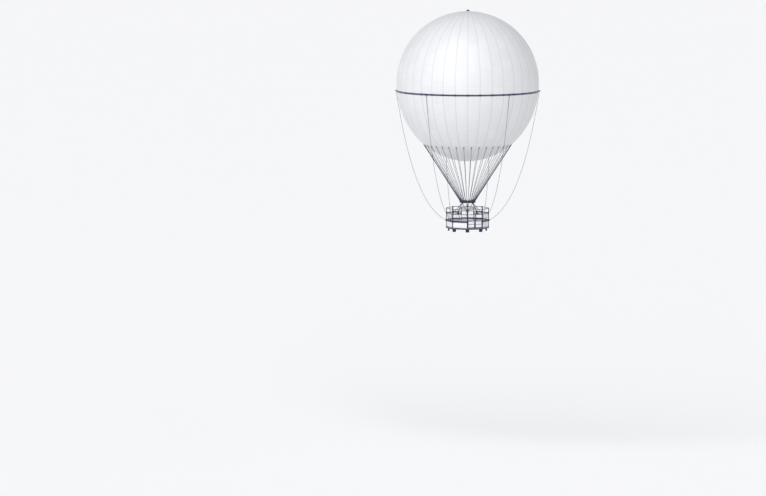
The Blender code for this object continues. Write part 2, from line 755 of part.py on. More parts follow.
def make_gate(name, side, hinge, hinge_edge):
    """A gate with its origin on its hinge line; side -1 hangs on the front corner."""
    latch_edge = MID_POST / 2 + GATE_EDGE_GAP
    near, far = side * (hinge_edge - GATE_RIM / 2), side * (latch_edge + GATE_RIM / 2)
    high = GATE_TOP - GATE_LOW
    middle = (GATE_LOW + GATE_TOP) / 2
    leaf = side_bar((near, middle), (far, middle), high - GATE_RIM, 0.03)
    rims = [side_bar((a, GATE_LOW), (a, GATE_TOP), GATE_RIM, GATE_T) for a in (near, far)]
    for z in (GATE_LOW + GATE_RIM * 0.6, GATE_TOP - GATE_RIM * 0.6):
        rims.append(side_bar((near, z), (far, z), GATE_RIM, GATE_T - 0.003))
    pivot = on_side(side * hinge, middle, -GATE_HINGE_IN)
    reach = UP * (high / 2 + HINGE_AWAY + HINGE_H / 2)
    rims.append(rod(pivot - reach, pivot + reach, GATE_ROD, ROUND))
    combined(leaf, rims)
    leaf.data.transform(Matrix.Translation(-pivot))
    leaf.location = pivot
    named(leaf, name, PANEL_WHITE)


def make_ropes():
    for k, (top, corner) in enumerate(ROPES):
        tip_low, tip_high, into_low, into_high = rope_ends(top, corner)
        first_end, last_end = tip_low + into_low * GAP, tip_high + into_high * GAP
        low, high = first_end + into_low * ROPE_LEAD, last_end + into_high * ROPE_LEAD
        scale, offset, span = hanging(low, high, ROPE_SLACK)
        level = Vector((high.x - low.x, high.y - low.y, 0)).normalized()
        first, last = math.sinh(-offset / scale), math.sinh((span - offset) / scale)
        curve = bpy.data.curves.new(f"handling_rope_{k + 1}", "CURVE")
        curve.dimensions = "3D"
        curve.bevel_depth = ROPE_R
        curve.bevel_resolution = 2
        curve.use_fill_caps = True
        line = curve.splines.new("POLY")
        route = [first_end]
        for i in range(ROPE_POINTS - 2):
            share = i / (ROPE_POINTS - 3)
            along = scale * math.asinh(first + (last - first) * share)
            rise = scale * (math.cosh(along / scale) - math.cosh(offset / scale))
            route.append(low + level * (along + offset) + UP * rise)
        route.append(last_end)
        line.points.add(ROPE_POINTS - 1)
        for point, place in zip(line.points, route):
            point.co = (*place, 1.0)
        curve.materials.append(ROPE_NAVY)
        rope = bpy.data.objects.new(curve.name, curve)
        bpy.context.scene.collection.objects.link(rope)


make_envelope()
make_crown_valve()
make_girdle()
make_suspension_lines()
make_load_ring()
make_tether_joint()
make_hanger_legs()
make_floor()
make_portals()
make_rings()
make_sides()
make_ropes()
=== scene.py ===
"""The looks of a tethered gas balloon with a ring gondola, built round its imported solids.

Metres, +Z up. The origin is the centre of the envelope's widest circle. Azimuth 0 is the front, which
is -Y, and azimuth 90 is +X. The gondola has a corner at the front and its two gates right of it.
"""

from math import acos, asin, asinh, atan, atan2, atanh, cos, cosh, degrees, hypot
from math import pi, radians, sin, sinh, sqrt, tan

import bmesh
import bpy
from mathutils import Matrix, Vector


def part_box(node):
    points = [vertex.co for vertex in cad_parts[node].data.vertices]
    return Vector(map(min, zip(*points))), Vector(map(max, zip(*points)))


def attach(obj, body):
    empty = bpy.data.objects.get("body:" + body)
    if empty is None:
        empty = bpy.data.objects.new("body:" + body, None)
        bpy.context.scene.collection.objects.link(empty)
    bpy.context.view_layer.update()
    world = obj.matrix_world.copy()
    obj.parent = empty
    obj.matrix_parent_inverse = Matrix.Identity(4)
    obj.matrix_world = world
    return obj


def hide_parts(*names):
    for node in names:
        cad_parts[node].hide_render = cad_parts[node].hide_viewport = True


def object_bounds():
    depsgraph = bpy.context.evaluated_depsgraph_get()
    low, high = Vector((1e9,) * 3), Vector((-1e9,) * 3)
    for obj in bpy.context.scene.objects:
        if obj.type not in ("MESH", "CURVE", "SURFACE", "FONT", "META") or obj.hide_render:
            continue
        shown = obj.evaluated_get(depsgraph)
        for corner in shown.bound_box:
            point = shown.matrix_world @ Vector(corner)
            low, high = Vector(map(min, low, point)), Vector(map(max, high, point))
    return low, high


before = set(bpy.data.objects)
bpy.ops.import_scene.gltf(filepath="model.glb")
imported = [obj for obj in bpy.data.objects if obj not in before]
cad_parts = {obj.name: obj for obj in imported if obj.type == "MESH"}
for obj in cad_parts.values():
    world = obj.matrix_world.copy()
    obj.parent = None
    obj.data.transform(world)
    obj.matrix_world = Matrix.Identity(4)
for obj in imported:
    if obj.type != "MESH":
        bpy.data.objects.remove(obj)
CAD_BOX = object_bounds()

UP = Vector((0, 0, 1))
RIGHT = Vector((1, 0, 0))
SEAT_GAP = 0.0003  # between two pieces that are seated on each other

# Envelope. A gore is 10 degrees wide, with a seam at every tenth degree and a line in its middle.
ENVELOPE_R = 11.15
ENVELOPE_DEPTH = 12.22  # from the widest circle down to the lower pole
SKIN = 0.010
GORES = 36
GORE = 360 / GORES
GORE_COLUMNS, SKIN_ROWS = 6, 88  # the skin's grid: columns in a gore, rows from crown to lower pole
PANEL = 9.0  # how high a gore's welded panels are, in degrees
SEAM_SHARE = 0.9940  # the skin's radius at a seam, as a share of the full circle's
BULGE_SHARE = 0.0035  # how much further out it is in a gore's middle
CROWN_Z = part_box("crown_valve_seat")[0].z
VALVE_HOLE_R = 0.18

GIRDLE_TOP, GIRDLE_LOW = -1.10, -1.38
GIRDLE_MID = (GIRDLE_TOP + GIRDLE_LOW) / 2

# Lines, load ring and tether.
PATCH_ANGLE = 90 + 90 * 7.5 / 13  # down the curve from the crown to a line's patch, in degrees
PATCH_L, PATCH_W = 0.56, 0.26
PATCH_REACH = 1.4  # half the stretch of skin over which a patch's direction is taken, in degrees
LINE_TURN = GORE / 2
RING_Z, RING_R, RING_TUBE = -18.67, 1.164, 0.080
COLLAR_LOW = RING_Z + RING_TUBE
COLLAR_W, COLLAR_H, COLLAR_TURN = 0.16, 0.07, 18.3  # wide, high and half its length in degrees
STRAP_R, STRAP_T = 0.092, 0.018
LINE_R, LINE_SOCKET, LINE_GROUPS = 0.030, 0.044, 9
HUB_R, HUB_H, ARM = 0.22, 0.14, 0.11
JOINT_Z, PIN_R, PIN_REACH = -19.05, 0.040, 0.21
CHEEK_OUT, CHEEK_T, CHEEK_W = 0.19, 0.05, 0.16
YOKE_TOP, SWIVEL_TOP, SWIVEL_R = JOINT_Z - 0.28, -19.47, 0.11
PENNANT_R, COUPLING_Z = 0.035, -22.74
LEG_R, LEG_SOCKET, LEG_TAPER = 0.024, 0.036, 0.018
EYE_DROP = 0.108  # from the load ring's underside to where the legs meet

# Gondola.
SIDES = 8
CORNER = 360 / SIDES
CORNER_FLAT = cos(pi / SIDES)
OUTER_R, INNER_R = 3.30, 1.33
OUTER_POST, INNER_POST = 0.055, 0.040
TOP_Z, TOP_RING_H = -19.58, 0.08
SECOND_Z, BEAM_H, BEAM_W = -20.38, 0.10, 0.07
RUB_TOP, RUB_LOW, RUB_T = -21.40, -21.62, 0.05
PARAPET_Z, DECK_Z, DECK_T = -21.65, -22.53, 0.04
FLOOR_LOW, FLOOR_OUT, FLOOR_IN, RIM_W = -22.74, 3.39, 1.27, 0.12
FOOT_R, FOOT_SIZE, FOOT_LOW = 2.93, (0.56, 0.26), -23.17
LEG_FOOT_R = 2.18
TREAD_PITCH, TREAD_LENGTH, TREAD_WIDTH, TREAD_HEIGHT = 0.055, 0.060, 0.017, 0.002
TRIM_IN = 0.035
STILE = 0.05
HALF_SIDE = OUTER_R * sin(pi / SIDES)
FACE_IN = OUTER_R * CORNER_FLAT
SIDE_END = HALF_SIDE - OUTER_POST - SEAT_GAP
HEAD_Z = TOP_Z - TOP_RING_H
STILE_MID, SIDE_REACH = SIDE_END - STILE / 2, SIDE_END - 0.01
WINDOW_HALF = STILE_MID - STILE / 2
SILL_Z, RAIL_Z = DECK_Z + 0.035, RUB_TOP - 0.03
SIDE_PANEL_T, WELL_PANEL_T, WELL_WALL_T = 0.016, 0.014, 0.032

# Gates.
GATE_LOW, GATE_TOP, GATE_T, GATE_RIM = -22.444, -21.400, 0.040, 0.055
MID_POST = 0.14
GATE_EDGE_GAP = 0.008
HINGE_IN, HINGE_OFF, HINGE_AWAY, HINGE_H = 0.030, 0.026, 0.031, 0.05
HINGE_MID = SIDE_END - STILE - HINGE_OFF
GATE_ROD = 0.016

# Handling ropes: azimuth at the girdle, azimuth of the gondola's corner.
ROPES = ((-160, -135), (-90, -90), (-35, -45), (35, 45), (90, 90), (160, 135))
ROPE_R, ROPE_SLACK, ROPE_POINTS, ROPE_LEAD = 0.025, 1.023, 40, 0.10
HALVINGS, SETTLINGS = 200, 13  # steps in which a rope's curve and the directions of its ends are found
SOCKET_R, SOCKET_L = 0.045, 0.15
BOSS_R, BOSS_H = 0.072, 0.18

# The picture's scale and where it puts the balloon.
PICTURE_W, PICTURE_H = 766, 496
PIXELS_PER_METRE = 6.40
AXIS_PIXEL = 467.9  # from the left, of the balloon's axis
WIDEST_PIXEL = 82.8  # from the top, of the middle of the envelope's widest circle
ELEVATION = 4.3
LENS, SENSOR = 200.0, 36.0
GROUND_Z = -57.8


# Node trees.


class Value:
    """A node's output that takes part in Python arithmetic."""

    def __init__(self, graph, socket):
        self.graph = graph
        self.socket = socket

    def math(self, operation, *others):
        """One of the math node's operations."""
        return self.graph.get("ShaderNodeMath", [self, *others], operation=operation)

    def __add__(self, other):
        return self.math("ADD", other)

    __radd__ = __add__

    def __mul__(self, other):
        return self.math("MULTIPLY", other)

    __rmul__ = __mul__

    def __sub__(self, other):
        return self.math("SUBTRACT", other)

    def __rsub__(self, other):
        return self.graph.get("ShaderNodeMath", [other, self], operation="SUBTRACT")

    def __truediv__(self, other):
        return self.math("DIVIDE", other)

    def sin(self):
        return self.math("SINE")

    def cos(self):
        return self.math("COSINE")

    def abs(self):
        return self.math("ABSOLUTE")

    def fract(self):
        return self.math("FRACT")

    def floor(self):
        return self.math("FLOOR")

    def root(self):
        return self.math("SQRT")

    def atan2(self, other):
        return self.math("ARCTAN2", other)

    def smooth(self, low, high):
        """0 below low, 1 above high and a soft step between them."""
        inputs = {"Value": self, "From Min": low, "From Max": high}
        return self.graph.get("ShaderNodeMapRange", inputs, interpolation_type="SMOOTHSTEP")

    def near(self, line, half_width, soft):
        """1 within half_width of a value and 0 past the soft edge."""
        return 1 - (self - line).abs().smooth(half_width, half_width + soft)


class Graph:
    """A node tree under construction. A kind without Node in it is one of the tree's own family."""

    def __init__(self, tree):
        self.tree = tree
        self.family = tree.bl_idname.replace("Tree", "")

    def add(self, kind, inputs=(), **settings):
        """Makes a node, sets its settings, then gives its sockets values or links."""
        node = self.tree.nodes.new(kind if "Node" in kind else self.family + kind)
        for key, value in settings.items():
            setattr(node, key, value)
        named = inputs.items() if isinstance(inputs, dict) else enumerate(inputs)
        for key, value in named:
            if isinstance(value, Value):
                self.tree.links.new(value.socket, node.inputs[key])
            else:
                node.inputs[key].default_value = value
        return node

    def get(self, kind, inputs=(), output=0, **settings):
        """Makes a node and returns one of its outputs."""
        return Value(self, self.add(kind, inputs, **settings).outputs[output])

    def vector(self, x, y, z):
        return self.get("ShaderNodeCombineXYZ", [x, y, z])

    def parts(self, vector):
        node = self.add("ShaderNodeSeparateXYZ", [vector])
        return [Value(self, out) for out in node.outputs]


class Surface(Graph):
    """A material's nodes round its Principled shader."""

    def __init__(self, name, **fixed):
        self.material = bpy.data.materials.new(name)
        self.material.use_nodes = True
        super().__init__(self.material.node_tree)
        self.shader = self.tree.nodes["Principled BSDF"]
        for key, value in fixed.items():
            self.shader.inputs[key.replace("_", " ")].default_value = value
        self.place = self.get("TexCoord", output="Object")
        self.x, self.y, self.z = self.parts(self.place)

    def noise(self, scale, detail=2.0, vector=None, rough=0.5):
        inputs = {"Vector": vector or self.place, "Scale": scale, "Detail": detail, "Roughness": rough}
        return self.get("TexNoise", inputs, "Fac")

    def cells(self, scale, output="Distance"):
        """Voronoi cells; their colour is a random tone for each."""
        inputs = {"Vector": self.place, "Scale": scale}
        return self.get("TexVoronoi", inputs, output)

    def mix(self, share, first, second):
        """From the first colour to the second."""
        first, second = [c if isinstance(c, Value) else (*c, 1.0) for c in (first, second)]
        return self.get("Mix", {0: share, 6: first, 7: second}, 2, data_type="RGBA")

    def attribute(self, name, output):
        return self.get("Attribute", output=output, attribute_name=name)

    def done(self, tone, dull, *layers):
        """Links the colour, the roughness and a chain of bumps, each a height and its depth in metres."""
        normal = {}
        for height, depth in layers:
            inputs = {"Height": height, "Distance": depth, "Strength": 1.0, **normal}
            normal = {"Normal": self.get("Bump", inputs)}
        for name, value in {"Base Color": tone, "Roughness": dull, **normal}.items():
            self.tree.links.new(value.socket, self.shader.inputs[name])
        return self.material


# Materials.


def paint(name, colour, worn, rough, **fixed):
    """Sprayed paint with an uneven gloss, faint dirt and small chips."""
    s = Surface(name, Coat_Roughness=0.25, **fixed)
    cloud = s.noise(1.7, 4.0)
    grime = s.noise(9.0, 5.0, rough=0.65)
    chips = s.noise(46.0, 3.0).smooth(0.70, 0.74) * s.noise(2.3).smooth(0.52, 0.66)
    dark = tuple(c * 0.72 for c in colour)
    tone = s.mix(cloud.smooth(0.3, 0.75) * 0.55, colour, dark)
    tone = s.mix(grime.smooth(0.55, 0.8) * 0.22, tone, worn)
    tone = s.mix(chips * 0.8, tone, worn)
    dull = cloud * 0.16 + grime * 0.14 + chips * 0.2 + (rough - 0.15)
    return s.done(tone, dull, (s.noise(210.0, 1.0), 0.0006), (chips * -1.0, 0.0008), (grime, 0.0009))


def steel(name, colour, rough, scratch, **fixed):
    """Bare metal with a crystal bloom and fine scratches that run up and down."""
    s = Surface(name, Metallic=1.0, **fixed)
    bloom = s.get("RGBToBW", [s.cells(22.0, "Color")])
    lines = s.noise(1.0, 3.0, s.vector(s.x * scratch, s.y * scratch, s.z * 14.0))
    stain = s.noise(4.0, 5.0, rough=0.6).smooth(0.55, 0.8)
    pale = tuple(min(1.0, c * 1.25) for c in colour)
    tone = s.mix(bloom * 0.6, colour, pale)
    tone = s.mix(stain * 0.45, tone, (0.16, 0.155, 0.15))
    dull = lines * 0.18 + stain * 0.2 + bloom * 0.06 + (rough - 0.16)
    return s.done(tone, dull, (lines, 0.0004), (bloom, 0.0003))


def coated_fabric():
    """White gas-tight cloth: welded panels, hems with painted shade beside the seam tapes, faint streaks, a
    fine weave and puckers at the seams.
    """
    s = Surface("coated_fabric", Sheen_Weight=0.08, Coat_Weight=0.12, Coat_Roughness=0.35)
    radius = (s.x * s.x + s.y * s.y).root()
    turn = s.x.atan2(s.y * -1.0) * (GORES / (2 * pi))
    gore = turn.floor()
    from_seam = (0.5 - (turn.fract() - 0.5).abs()) * radius * (2 * pi / GORES)
    climb = s.z.atan2(radius) * (1 / radians(PANEL)) + gore * 0.5
    from_weld = (0.5 - (climb.fract() - 0.5).abs()) * (ENVELOPE_R * radians(PANEL))
    panel = s.get("TexWhiteNoise", {"Vector": s.vector(gore, climb.floor(), 0.0)}, "Value")
    weld = from_weld.near(0.0, 0.022, 0.012)
    hem_and_shade = from_seam.near(0.0, 0.07, 0.02)
    streaks = s.noise(1.0, 4.0, s.vector(turn * 2.2, s.z * 0.11, radius * 0.2), 0.6)
    pucker = s.noise(1.0, 2.0, s.vector(turn * 1.5, s.z * 2.6, radius * 1.3))
    drum = from_seam.near(0.0, 0.05, 0.55) * pucker
    tone = s.mix(panel * 0.5, (0.665, 0.67, 0.685), (0.615, 0.62, 0.64))
    tone = s.mix(streaks.smooth(0.45, 0.85) * 0.30, tone, (0.54, 0.55, 0.58))
    tone = s.mix(weld * 0.26, tone, (0.48, 0.50, 0.56))
    # Painted shade: the hem band either side of each seam tape is darkened.
    tone = s.mix(hem_and_shade * 0.42, tone, (0.42, 0.44, 0.50))
    dull = panel * 0.05 + streaks * 0.22 + weld * 0.08 + 0.30
    weave = s.noise(1.0, 1.0, s.vector(s.x * 160.0, s.y * 160.0, s.z * 260.0))
    return s.done(tone, dull, (weave, 0.0006), (weld + hem_and_shade, 0.002), (drum, 0.03))


def tape_cloth():
    """White woven tape: a tight weave, a soft crease here and there and a little dirt."""
    s = Surface("tape_cloth", Sheen_Weight=0.1)
    weave = s.noise(1.0, 1.0, s.vector(s.x * 210.0, s.y * 210.0, s.z * 120.0))
    crease = s.noise(3.2, 4.0, rough=0.6)
    tone = s.mix(crease.smooth(0.35, 0.8) * 0.7, (0.61, 0.62, 0.65), (0.52, 0.53, 0.57))
    tone = s.mix(weave.smooth(0.4, 0.7) * 0.25, tone, (0.46, 0.47, 0.52))
    dull = crease * 0.2 + weave * 0.1 + 0.5
    return s.done(tone, dull, (weave, 0.0012), (crease, 0.004))


def webbing(name, colour, pale):
    """Woven tape: two slanting sets of threads, faded in patches."""
    s = Surface(name, Sheen_Weight=0.2)
    turn = s.x.atan2(s.y * -1.0) * ENVELOPE_R
    waves = 2 * pi / 0.012
    rib = ((turn + s.z) * waves).sin()
    counter = ((turn - s.z) * waves).sin()
    weave = rib * counter
    fade = s.noise(3.0, 5.0, rough=0.6)
    tone = s.mix(weave.smooth(-0.4, 0.9) * 0.45, colour, pale)
    tone = s.mix(fade.smooth(0.5, 0.8) * 0.35, tone, pale)
    dull = fade * 0.2 + weave * 0.05 + 0.58
    return s.done(tone, dull, (weave, 0.0012), (fade, 0.002))


def laid_rope(name, colour, pale, strands, lay, relief, grooved=False):
    """Rope whose strands wind round it, with finer yarns across, by what its tube says of each point."""
    s = Surface(name, Sheen_Weight=0.15)
    x, y, _ = s.parts(s.attribute("around", "Vector"))
    along = s.attribute("along", "Fac")
    wind = y.atan2(x) * (strands / (2 * pi))
    if not grooved:
        wind = wind + along * (strands / lay)
    strand = (wind.fract() * pi).sin()
    yarn = ((wind * 5.0 - along * (9.0 / lay)).fract() * pi).sin()
    fuzz = s.noise(90.0, 3.0)
    # Painted shade: the rope is darkest in the grooves between its strands.
    tone = s.mix(strand.smooth(0.15, 0.9), tuple(c * 0.45 for c in colour), colour)
    tone = s.mix(yarn * 0.35, tone, pale)
    tone = s.mix(fuzz.smooth(0.6, 0.85) * 0.3, tone, pale)
    dull = fuzz * 0.15 - strand * 0.08 + 0.68
    return s.done(tone, dull, (strand, relief), (yarn, relief * 0.2), (fuzz, 0.0008))


def tread_plate():
    """Alloy tread plate: its bars are scuffed bright, with dirt between them."""
    s = Surface("tread_plate", Metallic=0.85)
    raised = s.z.smooth(DECK_Z + 0.0004, DECK_Z + TREAD_HEIGHT * 0.8)
    dirt = s.noise(2.2, 6.0, rough=0.65)
    scuff = s.noise(34.0, 3.0)
    tone = s.mix(raised * 0.7, (0.36, 0.37, 0.39), (0.66, 0.67, 0.69))
    tone = s.mix((1 - raised) * dirt.smooth(0.4, 0.75) * 0.5, tone, (0.12, 0.12, 0.125))
    dull = dirt * 0.2 + scuff * 0.15 - raised * 0.10 + 0.38
    return s.done(tone, dull, (scuff, 0.0006), (dirt, 0.0012))


def rubber():
    """Black rubber with fine pores and pale dust."""
    s = Surface("buffer_rubber")
    dust = s.noise(5.0, 6.0, rough=0.7)
    pores = s.cells(160.0)
    tone = s.mix(dust.smooth(0.48, 0.8) * 0.5, (0.020, 0.020, 0.030), (0.13, 0.125, 0.12))
    dull = dust * 0.2 + 0.68
    return s.done(tone, dull, (pores, 0.0008), (dust, 0.0015))


def studio_floor():
    """A matt floor in one pale tone, with the faintest clouds."""
    s = Surface("studio_floor", Specular_IOR_Level=0.1)
    cloud = s.noise(0.02, 2.0)
    tone = s.mix(cloud * 0.2, (0.965, 0.965, 0.97), (0.945, 0.945, 0.95))
    dull = cloud * 0.05 + 0.9
    return s.done(tone, dull)


NAVY, WHITE = (0.012, 0.013, 0.058), (0.72, 0.73, 0.75)
ROPE_DARK, ROPE_PALE = (0.014, 0.015, 0.065), (0.035, 0.04, 0.12)
WIRE_DARK, WIRE_PALE = (0.34, 0.35, 0.37), (0.60, 0.61, 0.64)
ROPE_STRANDS, WIRE_STRANDS = 3, 6
ROPE_LAY, WIRE_LAY = 0.28, 0.30  # length in which a strand goes once round its rope
ROPE = (ROPE_DARK, ROPE_PALE, ROPE_STRANDS, ROPE_LAY)
WIRE = (WIRE_DARK, WIRE_PALE, WIRE_STRANDS, WIRE_LAY)
LOOKS = {
    "fabric": (coated_fabric(), "envelope_fabric"),
    "girdle": (webbing("girdle_tape", (0.013, 0.014, 0.06), (0.035, 0.038, 0.12)), "girdle_webbing"),
    "tape": (tape_cloth(), "envelope_fabric"),
    "rope": (laid_rope("laid_rope", *ROPE, 0.009), "rope"),
    "strands": (laid_rope("laid_strands", *ROPE, 0.005, grooved=True), "rope"),
    "thread": (webbing("thread", (0.50, 0.52, 0.60), (0.70, 0.72, 0.80)), "envelope_fabric"),
    "wire": (laid_rope("wire_rope", *WIRE, 0.005, grooved=True), "bare_steel"),
    "net": (laid_rope("net_cord", (0.50, 0.52, 0.58), (0.72, 0.74, 0.80), 3, 0.03, 0.0012), "rope"),
    "navy": (paint("navy_paint", NAVY, (0.07, 0.075, 0.13), 0.42, Coat_Weight=0.15), "frame_steel"),
    "white": (paint("white_paint", WHITE, (0.46, 0.46, 0.48), 0.42, Coat_Weight=0.2), "panel_white"),
    "steel": (steel("galvanised_steel", (0.44, 0.45, 0.47), 0.38, 260.0), "bare_steel"),
    "alloy": (steel("machined_alloy", (0.62, 0.63, 0.65), 0.34, 420.0), "alloy"),
    "tread": (tread_plate(), "decking"),
    "rubber": (rubber(), "rubber"),
}


# Places and outlines.


def spot(azimuth, radius, height=0.0):
    """A point by azimuth in degrees, distance from the axis and height."""
    turn = radians(azimuth)
    return Vector((radius * sin(turn), -radius * cos(turn), height))


def skin_spot(azimuth, down, proud=0.0):
    """A point on the dressed skin, by azimuth and degrees down its curve from the crown."""
    angle = radians(down)
    lobe = SEAM_SHARE + BULGE_SHARE * abs(sin(radians(azimuth) * GORES / 2))
    depth = ENVELOPE_R if down < 90 else ENVELOPE_DEPTH
    r, z = ENVELOPE_R * sin(angle) * lobe, depth * cos(angle)
    slope = atan2(cos(angle) / depth, sin(angle) / ENVELOPE_R)
    return spot(azimuth, r + proud * cos(slope), z + proud * sin(slope))


def circle(radius, sides):
    turns = [2 * pi * k / sides for k in range(sides)]
    return [(radius * cos(t), radius * sin(t)) for t in turns]


def rounded(wide, deep, corner, steps=3):
    """A rectangle's outline with round corners."""
    flat_x, flat_y = wide / 2 - corner, deep / 2 - corner
    points = []
    for k, (sx, sy) in enumerate(((1, 1), (-1, 1), (-1, -1), (1, -1))):
        for i in range(steps + 1):
            t = pi / 2 * (k + i / steps)
            points.append((sx * flat_x + corner * cos(t), sy * flat_y + corner * sin(t)))
    return points


def channel(wide, deep, wall):
    """A C section that opens towards -x."""
    w, d = wide / 2, deep / 2
    inner = [(-w, d - wall), (w - wall, d - wall), (w - wall, wall - d), (-w, wall - d)]
    return [(-w, -d), (w, -d), (w, d), (-w, d)] + inner


def joist_section(deep, wide, wall):
    """An I section, deep along x."""
    d, w, t = deep / 2, wide / 2, wall / 2
    half = [(-d, -w), (-d + wall, -w), (-d + wall, -t), (d - wall, -t), (d - wall, -w), (d, -w)]
    return half + [(x, -y) for x, y in half[::-1]]


def axes(start, end, side):
    """Across, third and along: a frame whose first axis lies as near to side as can be."""
    along = (end - start).normalized()
    across = (side - along * side.dot(along)).normalized()
    return across, along.cross(across), along


# Shapes and pieces.


class Build:
    """Closed shapes gathered in one mesh."""

    def __init__(self):
        self.made = bmesh.new()

    def loft(self, rings, loop=False):
        """Skins rings of equally many points, capped at both ends or closed into a loop, faces out."""
        rows = [[self.made.verts.new(p) for p in ring] for ring in rings]
        faces = []
        for a, b in zip(rows, rows[1:] + rows[:1] if loop else rows[1:]):
            for i in range(len(a)):
                j = (i + 1) % len(a)
                faces.append((a[i], a[j], b[j], b[i]))
        if not loop:
            faces += [rows[0][::-1], rows[-1]]
        faces = [self.made.faces.new(corners) for corners in faces]
        base = rows[0][0].co.copy()
        volume = 0.0
        for face in faces:
            first, *rest = [v.co - base for v in face.verts]
            volume += sum(first.dot(a.cross(b)) for a, b in zip(rest, rest[1:]))
        if volume < 0:
            bmesh.ops.reverse_faces(self.made, faces=faces)

    def sweep(self, outline, start, end, side=UP, edge=0.0):
        """Carries an outline from start to end, its x along side, with an edge broken at both ends."""
        across, third, along = axes(start, end, side)
        reach = max(max(abs(x), abs(y)) for x, y in outline)
        stations = [(start, 1.0), (end, 1.0)]
        if edge:
            small = 1 - edge / reach
            stations = [(start, small), (start + along * edge, 1.0), (end - along * edge, 1.0), (end, small)]
        self.loft([[at + (across * x + third * y) * size for x, y in outline] for at, size in stations])

    def bar(self, start, end, wide, deep, side=UP, corner=0.008, edge=0.004):
        """A bar with rounded corners, wide along side."""
        self.sweep(rounded(wide, deep, min(corner, wide / 2.1, deep / 2.1)), start, end, side, edge)

    def tube(self, start, end, radius, sides=16, edge=0.003):
        """A round bar."""
        side = RIGHT if abs((end - start).normalized().x) < 0.9 else UP
        self.sweep(circle(radius, sides), start, end, side, edge)

    def turned(self, profile, base=Vector(), way=UP, steps=24, loop=False):
        """Turns (radius, distance) points round an axis; a loop is a ring with a hole."""
        side = RIGHT if abs(way.normalized().x) < 0.9 else UP
        across, third, along = axes(base, base + way, side)
        ring = [across * x + third * y for x, y in circle(1.0, steps)]
        self.loft([[base + along * h + p * r for p in ring] for r, h in profile], loop)

    def path(self, outline, points, side=UP, loop=False):
        """Carries an outline round a bent path with mitred corners, its x along side."""
        rings = []
        count = len(points)
        for k, at in enumerate(points):
            before = points[k - 1] if k or loop else at * 2 - points[1]
            after = points[(k + 1) % count] if k < count - 1 or loop else at * 2 - points[-2]
            back, ahead = (at - before).normalized(), (after - at).normalized()
            along = (back + ahead).normalized()
            across = (side - along * side.dot(along)).normalized()
            third = along.cross(across)
            stretch = 1 / max(0.3, along.dot(ahead))
            rings.append([at + across * x + third * (y * stretch) for x, y in outline])
        self.loft(rings, loop)

    def plate(self, corners, thick, normal):
        """A flat plate on its corners, which lie in its middle plane."""
        half = normal.normalized() * (thick / 2)
        self.loft([[c - half for c in corners], [c + half for c in corners]])

    def tongue(self, root, tip, wide, thick, normal):
        """A plate from root to a round end about tip."""
        across, third, along = axes(root, tip, normal)
        arc = [pi * k / 8 for k in range(9)]
        corners = [tip + (third * cos(t) + along * sin(t)) * (wide / 2) for t in arc]
        self.plate(corners + [root - third * (wide / 2), root + third * (wide / 2)], thick, across)

    def socket(self, start, way, radius, length, rope_r, steps=20):
        """A swaged end fitting: a thick body that tapers to the rope."""
        profile = [(radius * 0.86, 0), (radius, 0.006), (radius, length * 0.45), (radius * 0.9, length * 0.5)]
        profile += [(radius * 0.9, length * 0.62), (rope_r + 0.006, length * 0.97), (rope_r + 0.001, length)]
        self.turned(profile, start, way, steps)


def placed(name, data):
    """A new object in the scene."""
    made = bpy.data.objects.new(name, data)
    bpy.context.scene.collection.objects.link(made)
    return made


def plain_mesh(made):
    """An object's evaluated shape as its plain mesh, with its modifiers gone."""
    view = bpy.context.evaluated_depsgraph_get()
    mesh = bpy.data.meshes.new_from_object(made.evaluated_get(view))
    made.modifiers.clear()
    made.data = mesh


def dressed(source, name, look, *grows, body="airframe", instead=(), sharp=35, wall=0.0):
    """Finishes a piece: its mesh, the geometry trees that grow it, its wall, its material and its body."""
    mesh = source if isinstance(source, bpy.types.Mesh) else bpy.data.meshes.new(name)
    if isinstance(source, Build):
        source.made.to_mesh(mesh)
        source.made.free()
    elif isinstance(source, tuple):
        points, lines = source
        mesh.from_pydata(points, lines, [])
    piece = placed(name, mesh)
    material, slot = LOOKS[look]
    mesh.materials.append(material)
    for tree, sizes in grows:
        grow = piece.modifiers.new(tree.name, "NODES")
        grow.node_group = tree
        for item in tree.interface.items_tree:
            if item.in_out == "INPUT" and item.name in sizes:
                grow[item.identifier] = sizes[item.name]
            elif item.name == "Material":
                grow[item.identifier] = material
    if wall:
        thick = piece.modifiers.new("wall", "SOLIDIFY")
        thick.thickness = wall
        thick.offset = -1.0
    if piece.modifiers:
        plain_mesh(piece)
    piece.data.name = name
    piece.data.shade_smooth()
    piece.data.set_sharp_from_angle(angle=radians(sharp))
    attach(piece, body)
    if instead:
        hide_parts(*instead)
    return piece


# Geometry trees.


def new_tree(name, sockets):
    """A geometry tree with named inputs; returns its graph and its inputs."""
    made = bpy.data.node_groups.new(name, "GeometryNodeTree")
    made.interface.new_socket("Geometry", in_out="INPUT", socket_type="NodeSocketGeometry")
    for label, kind in sockets.items():
        made.interface.new_socket(label, in_out="INPUT", socket_type=f"NodeSocket{kind}")
    made.interface.new_socket("Material", in_out="INPUT", socket_type="NodeSocketMaterial")
    made.interface.new_socket("Geometry", in_out="OUTPUT", socket_type="NodeSocketGeometry")
    graph = Graph(made)
    entry = made.nodes.new("NodeGroupInput")
    return graph, {s.name: Value(graph, s) for s in entry.outputs if s.name}


def end_tree(graph, shape, entry):
    """Makes copies real, gives the shape its material and ends the tree."""
    real = graph.get("RealizeInstances", {"Geometry": shape})
    done = graph.get("SetMaterial", {"Geometry": real, "Material": entry["Material"]})
    graph.add("NodeGroupOutput", {"Geometry": done})
    return graph.tree


def copied(g, entry, points, shape, turn):
    """Puts a copy of a shape on each point and ends the tree."""
    inputs = {"Points": points, "Instance": shape, "Rotation": turn}
    return end_tree(g, g.get("InstanceOnPoints", inputs), entry)


